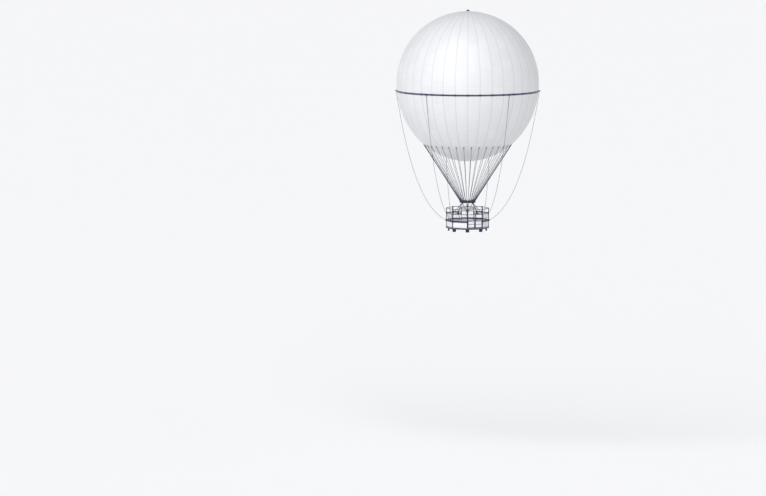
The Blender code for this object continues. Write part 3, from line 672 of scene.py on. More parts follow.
def round_axis_tree():
    """Copies a shape round the balloon's axis, a step in degrees apart."""
    g, entry = new_tree("round_axis", {"Count": "Int", "First": "Float", "Step": "Float"})
    line = g.get("MeshLine", {"Count": entry["Count"], "Offset": (0, 0, 0)})
    index = g.get("InputIndex")
    turn = (index * entry["Step"] + entry["First"]).math("RADIANS")
    return copied(g, entry, line, entry["Geometry"], g.vector(0.0, 0.0, turn))


def facing(g):
    """The rotation that turns +Z to each point's facing attribute."""
    way = g.get("InputNamedAttribute", {"Name": "facing"}, data_type="FLOAT_VECTOR")
    return g.get("FunctionNodeAlignRotationToVector", {"Vector": way}, axis="Z")


def bolt_tree():
    """A hexagon head on a washer at each point, turned to the point's facing."""
    g, entry = new_tree("bolts", {"Head Radius": "Float", "Head Height": "Float"})
    radius, height = entry["Head Radius"], entry["Head Height"]
    shapes = []
    # Head, washer and bolt end: sides, then radius, lower face and height as shares of the head's.
    for sides, wide, low, tall in ((6, 1.0, 0.25, 0.75), (14, 1.25, 0.0, 0.25), (10, 0.5, 1.0, 0.35)):
        sizes = {"Vertices": sides, "Radius": radius * wide, "Depth": height * tall}
        body = g.get("MeshCylinder", sizes)
        lift = g.vector(0.0, 0.0, height * (low + tall / 2))
        shapes.append(g.get("Transform", {"Geometry": body, "Translation": lift}))
    join = g.add("JoinGeometry")
    for shape in shapes:
        g.tree.links.new(shape.socket, join.inputs[0])
    return copied(g, entry, entry["Geometry"], Value(g, join.outputs[0]), facing(g))


def dome_tree():
    """A low round head at each point, for rivets and knots."""
    g, entry = new_tree("domes", {"Radius": "Float", "Height": "Float"})
    ball = g.get("MeshIcoSphere", {"Radius": 1.0, "Subdivisions": 1})
    size = g.vector(entry["Radius"], entry["Radius"], entry["Height"])
    dome = g.get("Transform", {"Geometry": ball, "Scale": size})
    return copied(g, entry, entry["Geometry"], dome, facing(g))


def keep(g, shape, name, kind, value):
    """Stores a value at each point of a shape."""
    inputs = {"Geometry": shape, "Name": name, "Value": value}
    return g.get("StoreNamedAttribute", inputs, data_type=kind)


def skinned(g, line, ring, entry):
    """Carries a ring along lines and ends the tree."""
    inputs = {"Curve": line, "Profile Curve": ring, "Fill Caps": True}
    return end_tree(g, g.get("CurveToMesh", inputs), entry)


def strand_tree():
    """Tubes along the lines of a mesh, which keep the distance along and the way round as attributes."""
    g, entry = new_tree("strands", {"Radius": "Float", "Sides": "Int"})
    line = g.get("MeshToCurve", {0: entry["Geometry"]})
    along = g.get("SplineParameter", output="Length")
    line = keep(g, line, "along", "FLOAT", along)
    size = {"Resolution": entry["Sides"], "Radius": entry["Radius"]}
    ring = g.get("CurvePrimitiveCircle", size)
    ring = keep(g, ring, "around", "FLOAT_VECTOR", g.get("InputPosition"))
    return skinned(g, line, ring, entry)


def laid_tree():
    """Laid rope along the lines of a mesh: a grooved section that turns once in each lay."""
    sockets = {"Radius": "Float", "Strands": "Int", "Groove": "Float", "Lay": "Float"}
    g, entry = new_tree("laid_strands", {**sockets, "Steps": "Int", "Sides": "Int"})
    line = g.get("MeshToCurve", {0: entry["Geometry"]})
    step = {"Curve": line, "Length": entry["Lay"] / entry["Steps"]}
    line = g.get("ResampleCurve", step, mode="LENGTH")
    along = g.get("SplineParameter", output="Length")
    turn = {"Curve": line, "Tilt": along / entry["Lay"] * (-2 * pi)}
    line = g.get("SetCurveTilt", turn)
    line = keep(g, line, "along", "FLOAT", along)
    size = {"Resolution": entry["Sides"], "Radius": entry["Radius"]}
    ring = g.get("CurvePrimitiveCircle", size)
    place = g.get("InputPosition")
    x, y, _ = g.parts(place)
    lobe = (y.atan2(x) * entry["Strands"] * 0.5).sin().abs()
    share = 1 - entry["Groove"] * (1 - lobe)
    lobed = {"Geometry": ring, "Position": g.vector(x * share, y * share, 0.0)}
    ring = g.get("SetPosition", lobed)
    ring = keep(g, ring, "around", "FLOAT_VECTOR", place)
    return skinned(g, line, ring, entry)


def stitch_tree():
    """Short threads laid end to end along the lines of a mesh."""
    g, entry = new_tree("stitches", {"Pitch": "Float", "Thread": "Float"})
    line = g.get("MeshToCurve", {0: entry["Geometry"]})
    dots = g.add("CurveToPoints", {"Curve": line, "Length": entry["Pitch"]}, mode="LENGTH")
    thread = {"Vertices": 5, "Radius": entry["Thread"], "Depth": entry["Pitch"] * 0.7}
    body = g.get("MeshCylinder", thread)
    tangent = Value(g, dots.outputs["Tangent"])
    turn = g.get("FunctionNodeAlignRotationToVector", {"Vector": tangent}, axis="Z")
    return copied(g, entry, Value(g, dots.outputs["Points"]), body, turn)


def envelope_tree():
    """The skin: a grid wrapped on half a sphere over half an ellipsoid, with every gore bulging a little."""
    sockets = {"Radius": "Float", "Depth": "Float", "Crown": "Float", "Gores": "Int", "Bulge": "Float"}
    sockets.update({"Seam": "Float", "First Angle": "Float", "Columns": "Int", "Rows": "Int"})
    g, entry = new_tree("envelope_skin", sockets)
    size = {"Vertices X": entry["Columns"] + 1, "Vertices Y": entry["Rows"] + 1, "Size X": 1.0, "Size Y": 1.0}
    grid = g.get("MeshGrid", size)
    u, v, _ = g.parts(g.get("InputPosition"))
    turn = u * (2 * pi)
    angle = entry["First Angle"] + (v + 0.5) * (pi - entry["First Angle"])
    lobe = entry["Seam"] + entry["Bulge"] * (turn * entry["Gores"] * 0.5).sin().abs()
    radius = entry["Radius"] * angle.sin() * lobe
    lower = angle.math("GREATER_THAN", pi / 2)
    depth = entry["Radius"] + (entry["Depth"] - entry["Radius"]) * lower
    height = (depth * angle.cos()).math("MINIMUM", entry["Crown"])
    place = g.vector(radius * turn.sin(), radius * turn.cos() * -1.0, height)
    skin = g.get("SetPosition", {"Geometry": grid, "Position": place})
    skin = g.get("MergeByDistance", {"Geometry": skin, "Distance": 0.0005})
    return end_tree(g, g.get("FlipFaces", {"Mesh": skin}), entry)


ROUND_AXIS = round_axis_tree()
BOLTS = bolt_tree()
DOMES = dome_tree()
STRANDS = strand_tree()
LAID = laid_tree()
STITCHES = stitch_tree()
ENVELOPE = envelope_tree()


# What the pieces are grown, laid out and fastened with.


def around(count, step=None, first=0.0):
    """Copies round the axis, evenly all the way unless a step is given."""
    return ROUND_AXIS, {"Count": count, "First": first, "Step": float(step or 360 / count)}


def strand(radius, sides):
    return STRANDS, {"Radius": radius, "Sides": sides}


def laid(radius, strands, groove, lay, sides, steps):
    sizes = {"Radius": radius, "Strands": strands, "Groove": groove, "Lay": lay}
    return LAID, {**sizes, "Sides": sides, "Steps": steps}


def stitch(pitch, thread):
    return STITCHES, {"Pitch": pitch, "Thread": thread}


FINE_STITCH = stitch(0.05, 0.003)


def bolt(radius, height):
    return BOLTS, {"Head Radius": radius, "Head Height": height}


def dome(radius, height):
    return DOMES, {"Radius": radius, "Height": height}


def chained(paths, closed=False):
    """Points and lines of several paths, as the strand and stitch trees take them."""
    points, lines = [], []
    for path in paths:
        first = len(points)
        points += path
        lines += [(first + k, first + k + 1) for k in range(len(path) - 1)]
        if closed:
            lines.append((len(points) - 1, first))
    return points, lines


def about_axis(turn):
    """The rotation about the balloon's axis by this many degrees."""
    return Matrix.Rotation(radians(turn), 3, "Z")


def pinned(spots, turns=(0,)):
    """A mesh of (place, facing) pairs, repeated at each turn about the axis."""
    places, ways = [], []
    for turn in turns:
        about = about_axis(turn)
        places += [about @ p for p, _ in spots]
        ways += [about @ w for _, w in spots]
    mesh = bpy.data.meshes.new("pins")
    mesh.from_pydata(places, [], [])
    facings = mesh.attributes.new("facing", "FLOAT_VECTOR", "POINT")
    facings.data.foreach_set("vector", [c for w in ways for c in w])
    return mesh


def ring_of(count, radius, height, first=0.0):
    """Evenly spaced spots round the axis that face up, for pinned."""
    return [(spot(first + 360 / count * k, radius, height), UP) for k in range(count)]


def fasten(name, spots, size, look="steel", turns=(0,), body="airframe"):
    """Puts a bolt or a rivet on each spot."""
    dressed(pinned(spots, turns), name, look, size, body=body, sharp=40)


def numbered(name, count):
    """The names of nodes that differ in their number only."""
    return [f"{name}_{k + 1}" for k in range(count)]


def mirrored(half):
    """A profile for turned that is the same at both ends, from its upper half."""
    return [(r, -h) for r, h in half[::-1]] + half


def turned_copies(lines, turns):
    """The same lines again at each turn about the axis."""
    abouts = [about_axis(t) for t in turns]
    return [[about @ p for p in line] for about in abouts for line in lines]


EIGHT = [CORNER * k for k in range(SIDES)]
QUARTERS = (0, 90, 180, 270)


# Camera and light.


def aim_camera():
    """A long lens that sees the balloon where the picture has it."""
    camera = placed("camera", bpy.data.cameras.new("camera"))
    bpy.context.scene.camera = camera
    camera.data.lens = LENS
    camera.data.sensor_width = SENSOR
    pixels = PICTURE_W * LENS / SENSOR
    tilt = radians(ELEVATION)
    centre = UP * ((CAD_BOX[0].z + CAD_BOX[1].z) / 2)
    camera.location = centre + Vector((0, -cos(tilt), sin(tilt))) * (pixels / PIXELS_PER_METRE)
    below = PICTURE_H / 2 - WIDEST_PIXEL + centre.z * cos(tilt) * PIXELS_PER_METRE
    turn = atan((AXIS_PIXEL - PICTURE_W / 2) / pixels)
    camera.rotation_euler = (pi / 2 - tilt - atan(below / pixels), 0, turn)
    camera.data.clip_start, camera.data.clip_end = 1.0, 20000.0


def light_studio():
    """A pale floor at the picture's ground level under a soft sky and two soft lamps."""
    floor = bpy.data.meshes.new("floor")
    reach = 6000.0
    corners = [(x * reach, y * reach, GROUND_Z) for x, y in ((-1, -1), (1, -1), (1, 1), (-1, 1))]
    floor.from_pydata(corners, [], [(0, 1, 2, 3)])
    floor.materials.append(studio_floor())
    placed("floor", floor)
    world = bpy.data.worlds.new("sky")
    world.use_nodes = True
    sky = Graph(world.node_tree)
    height = sky.parts(sky.get("TexCoord", output="Generated"))[2]
    haze, zenith = (0.86, 0.865, 0.875, 1.0), (0.31, 0.315, 0.33, 1.0)
    inputs = {0: height.smooth(0.06, 0.40), 6: haze, 7: zenith}
    colour = sky.get("Mix", inputs, 2, data_type="RGBA")
    sky.tree.links.new(colour.socket, sky.tree.nodes["Background"].inputs["Color"])
    bpy.context.scene.world = world
    bpy.context.scene.view_settings.view_transform = "Standard"
    # Name, degrees from straight down, degrees round from the front, power and width in degrees.
    for name, lean, turn, power, wide in (("key", 50, -26, 2.85, 75), ("fill", 62, 70, 0.3, 60)):
        lamp = bpy.data.lights.new(name, "SUN")
        lamp.energy = power
        lamp.angle = radians(wide)
        placed(name, lamp).rotation_euler = (radians(lean), 0, radians(turn))


# Handling ropes.


def mooring_eye(azimuth):
    """Where a rope's lower socket starts, in a boss on the gondola's band."""
    return spot(azimuth, OUTER_R + OUTER_POST + 0.085, (RUB_TOP + RUB_LOW) / 2)


def girdle_eye(azimuth):
    """Where a rope's upper socket starts, in a lug on the girdle."""
    return spot(azimuth, ENVELOPE_R + 0.03, GIRDLE_MID)


def hanging(low, high, slack):
    """A hanging rope between two points: its scale, its lowest point's offset from low, and its span."""
    rise = high.z - low.z
    span = hypot(high.x - low.x, high.y - low.y)
    length = slack * hypot(rise, span)
    pull = sqrt(length * length - rise * rise)
    small, large = span / 40, span * 40
    for _ in range(HALVINGS):
        scale = (small + large) / 2
        if 2 * scale * sinh(span / (2 * scale)) > pull:
            small = scale
        else:
            large = scale
    return scale, span / 2 - scale * atanh(rise / length), span


def rope_ends(top_azimuth, corner_azimuth):
    """The tips of a rope's low and high sockets, and the rope's directions out of them."""
    low, high = mooring_eye(corner_azimuth), girdle_eye(top_azimuth)
    reach = SOCKET_L + SEAT_GAP + ROPE_LEAD
    into_low, into_high = Vector(), Vector()
    for _ in range(SETTLINGS):
        start, end = low + into_low * reach, high + into_high * reach
        scale, offset, span = hanging(start, end, ROPE_SLACK)
        level = Vector((end.x - start.x, end.y - start.y, 0)).normalized()
        into_low = (level + UP * sinh(-offset / scale)).normalized()
        into_high = -(level + UP * sinh((span - offset) / scale)).normalized()
    return low + into_low * SOCKET_L, high + into_high * SOCKET_L, into_low, into_high


def rope_route(top, corner):
    """The points a handling rope follows, from its gondola socket to its girdle socket."""
    tip_low, tip_high, into_low, into_high = rope_ends(top, corner)
    first_end, last_end = tip_low + into_low * SEAT_GAP, tip_high + into_high * SEAT_GAP
    low, high = first_end + into_low * ROPE_LEAD, last_end + into_high * ROPE_LEAD
    scale, offset, span = hanging(low, high, ROPE_SLACK)
    level = Vector((high.x - low.x, high.y - low.y, 0)).normalized()
    first, last = sinh(-offset / scale), sinh((span - offset) / scale)
    route = [first_end]
    for i in range(ROPE_POINTS - 2):
        along = scale * asinh(first + (last - first) * i / (ROPE_POINTS - 3))
        rise = scale * (cosh(along / scale) - cosh(offset / scale))
        route.append(low + level * (along + offset) + UP * rise)
    return route + [last_end]


def hang_handling_ropes():
    """Six cords, each along the curve of a rope that hangs between its two sockets."""
    for k, (top, corner) in enumerate(ROPES):
        route = rope_route(top, corner)
        name, node = f"handling_line_{k + 1}", f"handling_rope_{k + 1}"
        rope = dressed(chained([route]), name, "rope", strand(ROPE_R, 14), instead=[node])
        length = sum((b - a).length for a, b in zip(route, route[1:]))


# Envelope, girdle and lines.


def sew_envelope():
    """The skin with its seam tapes, pole patches and the stitching along them."""
    first = asin(VALVE_HOLE_R / ENVELOPE_R)
    sizes = {"Radius": ENVELOPE_R, "Depth": ENVELOPE_DEPTH, "Crown": CROWN_Z - 0.0005, "Gores": GORES}
    sizes.update({"Seam": SEAM_SHARE, "Bulge": BULGE_SHARE, "First Angle": first})
    sizes.update({"Columns": GORES * GORE_COLUMNS, "Rows": SKIN_ROWS})
    dressed(None, "envelope_skin", "fabric", (ENVELOPE, sizes), instead=["envelope"], sharp=179, wall=SKIN)

    tape = Build()
    top, low, steps = 3.0, 176.0, 80
    section = ((-1, -0.004), (-0.8, 0.006), (0.8, 0.006), (1, -0.004))
    rings = []
    for k in range(steps + 1):
        down = top + (low - top) * k / steps
        level_r = ENVELOPE_R * sin(radians(down))
        turn = degrees(min(0.045, level_r * 0.075) / level_r)
        rings.append([skin_spot(share * turn, down, proud) for share, proud in section])
    tape.loft(rings)
    dressed(tape, "seam_tapes", "tape", around(GORES))

    turns = [GORE * k / 4 for k in range(GORES * 4)]
    for name, near, far in (("crown_patch", 2.06, 7.5), ("base_patch", 179.95, 175.5)):
        patch = Build()
        steps = 6
        spread = [(near + (far - near) * k / steps, 0.011) for k in range(steps + 1)]
        under = [(down, 0.003) for down, _ in spread[::-1]]
        patch.loft([[skin_spot(t, down, out) for t in turns] for down, out in spread + under], loop=near < 90)
        dressed(patch, name, "tape")
        rows = [[skin_spot(t, far + (near - far) * share, 0.012) for t in turns] for share in (0.04, 0.12)]
        dressed(chained(rows, closed=True), f"{name}_stitching", "thread", FINE_STITCH)


def lathe_crown_valve():
    """The valve's seat on the crown, with spokes and a bush in it, and the domed lid that lifts off it."""
    seat = Build()
    profile = [(0.18, 0), (0.398, 0), (0.40, 0.004), (0.40, 0.016), (0.396, 0.02), (0.232, 0.02)]
    profile += [(0.216, 0.028), (0.21, 0.04), (0.21, 0.144), (0.206, 0.15), (0.184, 0.15), (0.18, 0.146)]
    seat.turned(profile, UP * CROWN_Z, UP, 64, loop=True)
    spokes = CROWN_Z + 0.07
    for a in (0, 90):
        for near, far in ((-0.185, -0.04), (0.04, 0.185)):
            seat.bar(spot(a, near, spokes), spot(a, far, spokes), 0.024, 0.03, corner=0.005)
    bush = [(0.016, 0.05), (0.043, 0.05), (0.045, 0.053), (0.045, 0.087), (0.043, 0.09), (0.016, 0.09)]
    seat.turned(bush, UP * CROWN_Z, UP, 32, loop=True)
    dressed(seat, "valve_seat", "alloy", instead=["crown_valve_seat"])
    fasten("valve_seat_bolts", ring_of(16, 0.345, CROWN_Z + 0.02), bolt(0.014, 0.014))

    low = CROWN_Z + 0.15 + SEAT_GAP
    wide, tall = 0.245, 0.11
    lid = Build()
    profile = [(0.015, -0.18), (0.015, 0.0), (0.225, 0.0), (0.226, -0.066), (0.230, -0.07), (0.242, -0.07)]
    angles = (0.0, 0.15, 0.3, 0.5, 0.7, 0.9, 1.1, 1.3, 1.45)
    cap = [(wide * cos(a), tall * sin(a)) for a in angles]
    lid.turned(profile + [(wide, -0.066)] + cap, UP * low, UP, 64)
    for a in range(0, 360, 60):
        arc = (0.35, 0.6, 0.85, 1.1, 1.35)
        rib = [spot(a, wide * cos(t), low + tall * sin(t)) for t in arc]
        lid.path(rounded(0.016, 0.020, 0.005), rib, UP)
    lid.turned([(0.05, 0.104), (0.052, 0.108), (0.052, 0.110), (0.02, 0.1102)], UP * low, UP, 32)
    dressed(lid, "valve_cap", "navy", body="valve_lid", instead=["crown_valve_lid"])
    screws = [(spot(30 * k, wide, low - 0.035), spot(30 * k, 1.0)) for k in range(12)]
    fasten("valve_cap_screws", screws, dome(0.010, 0.005), body="valve_lid")


def girdle_down(height):
    """Degrees down the skin's curve to a height below the widest circle."""
    return degrees(acos(height / ENVELOPE_DEPTH))


def wrap_girdle():
    """The girdle band with raised edges, its stitching, and a lug and socket for each handling rope."""
    top, low = girdle_down(GIRDLE_TOP), girdle_down(GIRDLE_LOW)
    turns = [GORE * k / GORE_COLUMNS for k in range(GORES * GORE_COLUMNS)]

    def on_band(turn, share, out):
        return skin_spot(turn, top + (low - top) * share, out)

    band = Build()
    edge = [(0.00, 0.002), (0.00, 0.012), (0.01, 0.016), (0.15, 0.016), (0.17, 0.011), (0.33, 0.011)]
    edge.append((0.35, 0.018))
    outline = edge + [(1 - share, out) for share, out in edge[::-1]]
    band.loft([[on_band(t, share, out) for t in turns] for share, out in outline], loop=True)
    lugs, sockets, pins = Build(), Build(), []
    for azimuth, corner in ROPES:
        out, side = spot(azimuth, 1.0), spot(azimuth + 90, 1.0)
        root = spot(azimuth, ENVELOPE_R - 0.05, GIRDLE_MID)
        tip = spot(azimuth, ENVELOPE_R + 0.09, GIRDLE_MID)
        pad, half = root + out * 0.02, UP * 0.14
        band.bar(pad - half, pad + half, 0.42, 0.05, side, 0.012)
        for across in (-0.058, 0.058):
            lugs.tongue(root + side * across, tip + side * across, 0.17, 0.018, side)
        lugs.tube(tip - side * 0.067, tip + side * 0.067, 0.026, 20)
        lugs.turned(mirrored([(0.05, 0.045), (0.03, 0.048)]), tip, side)
        pins += [(tip + side * s * 0.067, side * s) for s in (-1, 1)]
        face = root + out * 0.045
        pins += [(face + side * x + UP * z, out) for x in (-0.17, 0.17) for z in (-0.1, 0.0, 0.1)]
        _, end, _, into = rope_ends(azimuth, corner)
        start = girdle_eye(azimuth)
        sockets.socket(start, into, SOCKET_R, (end - start).length, ROPE_R)
    dressed(band, "girdle_band", "girdle", instead=["girdle"])
    dressed(lugs, "girdle_lugs", "navy")
    dressed(sockets, "girdle_rope_sockets", "steel")
    fasten("girdle_bolts", pins, bolt(0.016, 0.014))
    seams = ((0.04, 0.0165), (0.12, 0.0165), (0.39, 0.0185), (0.61, 0.0185), (0.88, 0.0165), (0.96, 0.0165))
    rows = [[on_band(t, share, out) for t in turns] for share, out in seams]
    dressed(chained(rows, closed=True), "girdle_stitching", "thread", stitch(0.09, 0.0028))
    keeper = Build()
    corners = ((-1.05, -0.10), (-1.05, 1.10), (1.05, 1.10), (1.05, -0.10))
    keeper.loft([[on_band(a * 0.55, share, out) for a, share in corners] for out in (0.004, 0.0225)])
    dressed(keeper, "girdle_keepers", "girdle", around(GORES))


def down_patch():
    """The way down the skin through the middle of a line's patch."""
    low, high = [skin_spot(LINE_TURN, PATCH_ANGLE + s * PATCH_REACH) for s in (1, -1)]
    return low - high


def sew_line_patches():
    """The three layers of cloth under a line's upper end, stitched round, at each gore."""
    degree_down = down_patch().length / (2 * PATCH_REACH)
    degree_turn = radians(1) * ENVELOPE_R * sin(radians(PATCH_ANGLE))

    def on_patch(outline, across, down, out):
        return [skin_spot(LINE_TURN + x * across / degree_turn, PATCH_ANGLE + y * down / degree_down, out)
                for x, y in outline]

    patch, stitches = Build(), []
    for grow, proud in ((1.0, 0.006), (0.72, 0.012), (0.46, 0.018)):
        outline = rounded(PATCH_W * grow * 2, PATCH_L * grow * 1.6, 0.09 * grow, 4)
        layer = [(1.0, -0.003), (1.0, proud - 0.002)]
        layer += [(share, proud) for share in (0.985, 0.75, 0.5, 0.25, 0.04)]
        patch.loft([on_patch(outline, share, share, out) for share, out in layer])
        stitches.append(on_patch(outline, 0.92, 0.95, proud + 0.0015))
    dressed(patch, "line_patches", "tape", around(GORES))
    dressed(chained(stitches, closed=True), "patch_stitching", "thread", FINE_STITCH, around(GORES))


def rig_suspension_lines():
    """One line's fittings and rope, then all 36 of them round the axis."""
    centre = skin_spot(LINE_TURN, PATCH_ANGLE)
    along, side = down_patch().normalized(), spot(LINE_TURN + 90, 1.0)
    out = along.cross(side)
    start = spot(LINE_TURN, RING_R, COLLAR_LOW + COLLAR_H * 0.55)
    anchor = centre + out * 0.026
    way = (anchor - start).normalized()
    block = Build()
    block.bar(anchor - along * 0.088, anchor + along * 0.088, 0.10, 0.070, side, 0.014)
    block.bar(centre - along * 0.16, centre + along * 0.16, 0.055, 0.042, side, 0.01)
    block.tube(anchor - side * 0.066, anchor + side * 0.066, 0.018)
    block.socket(anchor - way * 0.02, -way, LINE_SOCKET, 0.30, LINE_R)
    block.socket(start + way * 0.02, way, LINE_SOCKET, 0.26, LINE_R)
    block.turned([(0.05, 0.0), (0.05, 0.05), (0.046, 0.056), (0.03, 0.058)], start - way * 0.02, way)
    nodes = numbered("suspension_lines", LINE_GROUPS)
    dressed(block, "line_fittings", "navy", around(GORES), instead=nodes)
    steps, thirds = 20, 3
    route = [start + (anchor - start) * (k / steps) for k in range(steps + 1)]
    lines = turned_copies([route], [GORE * k for k in range(GORES)])
    for third in range(thirds):
        name = f"suspension_ropes_{third + 1}"
        share = GORES // thirds
        dressed(chained(lines[third * share : third * share + share]), name, "rope", strand(LINE_R, 12))


def clamp_collars():
    """The collars that hold the lines in fours on the load ring, with three straps each and their bolts."""
    collar = Build()
    steps = 24
    height = COLLAR_LOW + COLLAR_H / 2
    bar = rounded(COLLAR_W, COLLAR_H, 0.012)
    arc = [COLLAR_TURN * (2 * k / steps - 1) for k in range(steps + 1)]
    collar.loft([[spot(a, RING_R + x, height + y) for x, y in bar] for a in arc])
    half_turn, half_thick = 1.1, STRAP_T / 2
    section = ((-1, -1), (1, -1), (1, 1), (-1, 1))
    for a in (1.2 - COLLAR_TURN, 0.0, COLLAR_TURN - 1.2):
        rings = []
        for t in [pi * k / 12 for k in range(-10, 11)]:
            radii = [(w * half_turn, STRAP_R + s * half_thick) for w, s in section]
            rings.append([spot(a + w, RING_R + r * cos(t), RING_Z + r * sin(t)) for w, r in radii])
        collar.loft(rings)
    dressed(collar, "line_collars", "navy", around(LINE_GROUPS))
    spread = [(a, RING_R + x) for a in (-17.1, -10.0, 0.0, 10.0, 17.1) for x in (-0.055, 0.055)]
    tops = [(spot(a, r, COLLAR_LOW + COLLAR_H), UP) for a, r in spread]
    turns = [360 / LINE_GROUPS * k for k in range(LINE_GROUPS)]
    fasten("collar_bolts", tops, bolt(0.013, 0.014), turns=turns)


# Load ring, tether and legs.


def weld_load_ring():
    """The ring, the cross in it, and the forked cheeks that take the joint's upper pins."""
    ring = Build()
    tube = [(RING_R + x, RING_Z + y) for x, y in circle(RING_TUBE, 20)]
    ring.turned(tube, Vector(), UP, 96, loop=True)
    thin, thick = RING_TUBE - 0.002, RING_TUBE + 0.004
    sleeve = ((-1.6, thin), (-1.2, thick), (1.2, thick), (1.6, thin))
    for a in EIGHT:
        ring.loft([[spot(a + w, RING_R + x, RING_Z + y) for x, y in circle(r, 20)] for w, r in sleeve])
    dressed(ring, "ring_tube", "navy", instead=["load_ring"])

    cross = Build()
    half, bevel = HUB_H / 2, 0.008
    hub = [(0.05, -half), (HUB_R - bevel, -half), (HUB_R, -half + bevel), (HUB_R, half - bevel)]
    hub += [(HUB_R - bevel, half), (0.12, half), (0.11, half + 0.012), (0.04, half + 0.012)]
    cross.turned(hub, UP * RING_Z, UP, 48)
    reach = RING_R - RING_TUBE
    for a in QUARTERS:
        cross.bar(spot(a, HUB_R - 0.03, RING_Z), spot(a, reach, RING_Z), ARM, ARM, UP, 0.012)
        for z in (-1, 1):
            corners = ((HUB_R - 0.01, ARM / 2), (HUB_R + 0.16, ARM / 2), (HUB_R - 0.01, 0.068))
            cross.plate([spot(a, r, RING_Z + z * h) for r, h in corners], 0.016, spot(a + 90, 1.0))
        cross.bar(spot(a, reach - 0.035, RING_Z), spot(a, reach - 0.005, RING_Z), 0.13, 0.15, UP, 0.02)
    for side in (-1, 1):
        x = side * (CHEEK_OUT - CHEEK_T / 2)
        root, tip = Vector((x, 0, RING_Z - half + 0.01)), Vector((x, 0, JOINT_Z))
        cross.tongue(root, tip, CHEEK_W, CHEEK_T, RIGHT)
        for y in (-1, 1):
            corners = [Vector((x, y * 0.08, 0)), Vector((x, y * 0.15, 0)), Vector((x, y * 0.08, -0.10))]
            cross.plate([c + UP * (RING_Z - half + 0.004) for c in corners], 0.016, RIGHT)
    dressed(cross, "ring_cross", "navy", instead=["tether_cross"])
    tops = ring_of(4, 0.165, RING_Z + half, 45)
    for s in (1, -1):
        tops += [(spot(a, r, RING_Z + s * ARM / 2), UP * s) for a in QUARTERS for r in (0.92, 1.02)]
    fasten("ring_cross_bolts", tops, bolt(0.016, 0.016))


def fit_tether_joint():
    """The spider and the lower yoke of the universal joint."""
    centre = UP * JOINT_Z
    block_half = 0.0595
    spider = Build()
    spider.bar(centre - UP * block_half, centre + UP * block_half, 0.17, 0.17, RIGHT, 0.022, 0.012)
    pin = mirrored([(PIN_R, PIN_REACH - 0.004), (PIN_R - 0.004, PIN_REACH)])
    for a in (0, 90):
        way = spot(a, 1.0)
        spider.turned(pin, centre, way, 32)
        for s in (-1, 1):
            spider.turned([(0.058, 0.0), (0.058, 0.010), (0.050, 0.028)], centre + way * (s * 0.085), way * s)
    dressed(spider, "cross_spider", "steel", body="joint_spider", instead=["joint_spider"])
    nipples = [(centre + UP * s * block_half, UP * s) for s in (1, -1)]
    fasten("spider_grease_nipples", nipples, bolt(0.008, 0.02), "alloy", body="joint_spider")

    yoke = Build()
    low = SWIVEL_TOP + 2 * SEAT_GAP
    foot = low - YOKE_TOP
    profile = [(0.05, foot), (0.17, foot), (0.185, foot + 0.012), (0.20, foot + 0.03)]
    yoke.turned(profile + [(0.20, -0.010), (0.19, 0.0)], UP * YOKE_TOP, UP, 48)
    for s in (-1, 1):
        y = s * (CHEEK_OUT - CHEEK_T / 2)
        root, tip = Vector((0, y, YOKE_TOP - 0.01)), Vector((0, y, JOINT_Z))
        yoke.tongue(root, tip, CHEEK_W, CHEEK_T, Vector((0, 1, 0)))
    yoke.tube(UP * (low + 0.01), UP * (SWIVEL_TOP - 0.10), 0.0448, 32)
    dressed(yoke, "swivel_yoke", "navy", body="joint_yoke", instead=["joint_yoke"])
    fasten("swivel_yoke_bolts", ring_of(4, 0.165, YOKE_TOP, 45), bolt(0.014, 0.014), body="joint_yoke")


def hang_tether():
    """The swivel's housing, the wire rope under it and the coupling at its end."""
    swivel = Build()
    house = [(0.052, 0), (0.100, 0), (0.110, -0.008), (0.110, -0.06), (0.104, -0.066), (0.104, -0.08)]
    house += [(0.110, -0.086), (0.110, -0.25), (0.100, -0.262), (0.06, -0.33), (0.045, -0.335)]
    house += [(0.045, -0.40), (0.036, -0.42), (0.030, -0.42)]
    swivel.turned(house, UP * SWIVEL_TOP, UP, 48)
    cone = [(0.030, 0.50), (0.037, 0.50), (0.050, 0.46), (0.055, 0.34), (0.085, 0.07), (0.085, 0.05)]
    cone += [(0.155, 0.05), (0.16, 0.045), (0.16, 0.006), (0.155, 0.0), (0.05, 0.0)]
    swivel.turned(cone, UP * COUPLING_Z, UP, 48)
    dressed(swivel, "swivel_and_coupling", "steel", body="tether", instead=["tether_pennant"])
    high, low, steps = SWIVEL_TOP - 0.40, COUPLING_Z + 0.48, 24
    route = [UP * (high + (low - high) * k / steps) for k in range(steps + 1)]
    wire = laid(PENNANT_R, WIRE_STRANDS, 0.14, WIRE_LAY, 24, 12)
    dressed(chained([route]), "tether_rope", "wire", wire, body="tether")
    spots = ring_of(8, 0.125, COUPLING_Z + 0.05)
    spots += [(spot(60 * k, SWIVEL_R, SWIVEL_TOP - 0.17), spot(60 * k, 1.0)) for k in range(6)]
    fasten("coupling_bolts", spots, bolt(0.014, 0.013), "alloy", body="tether")


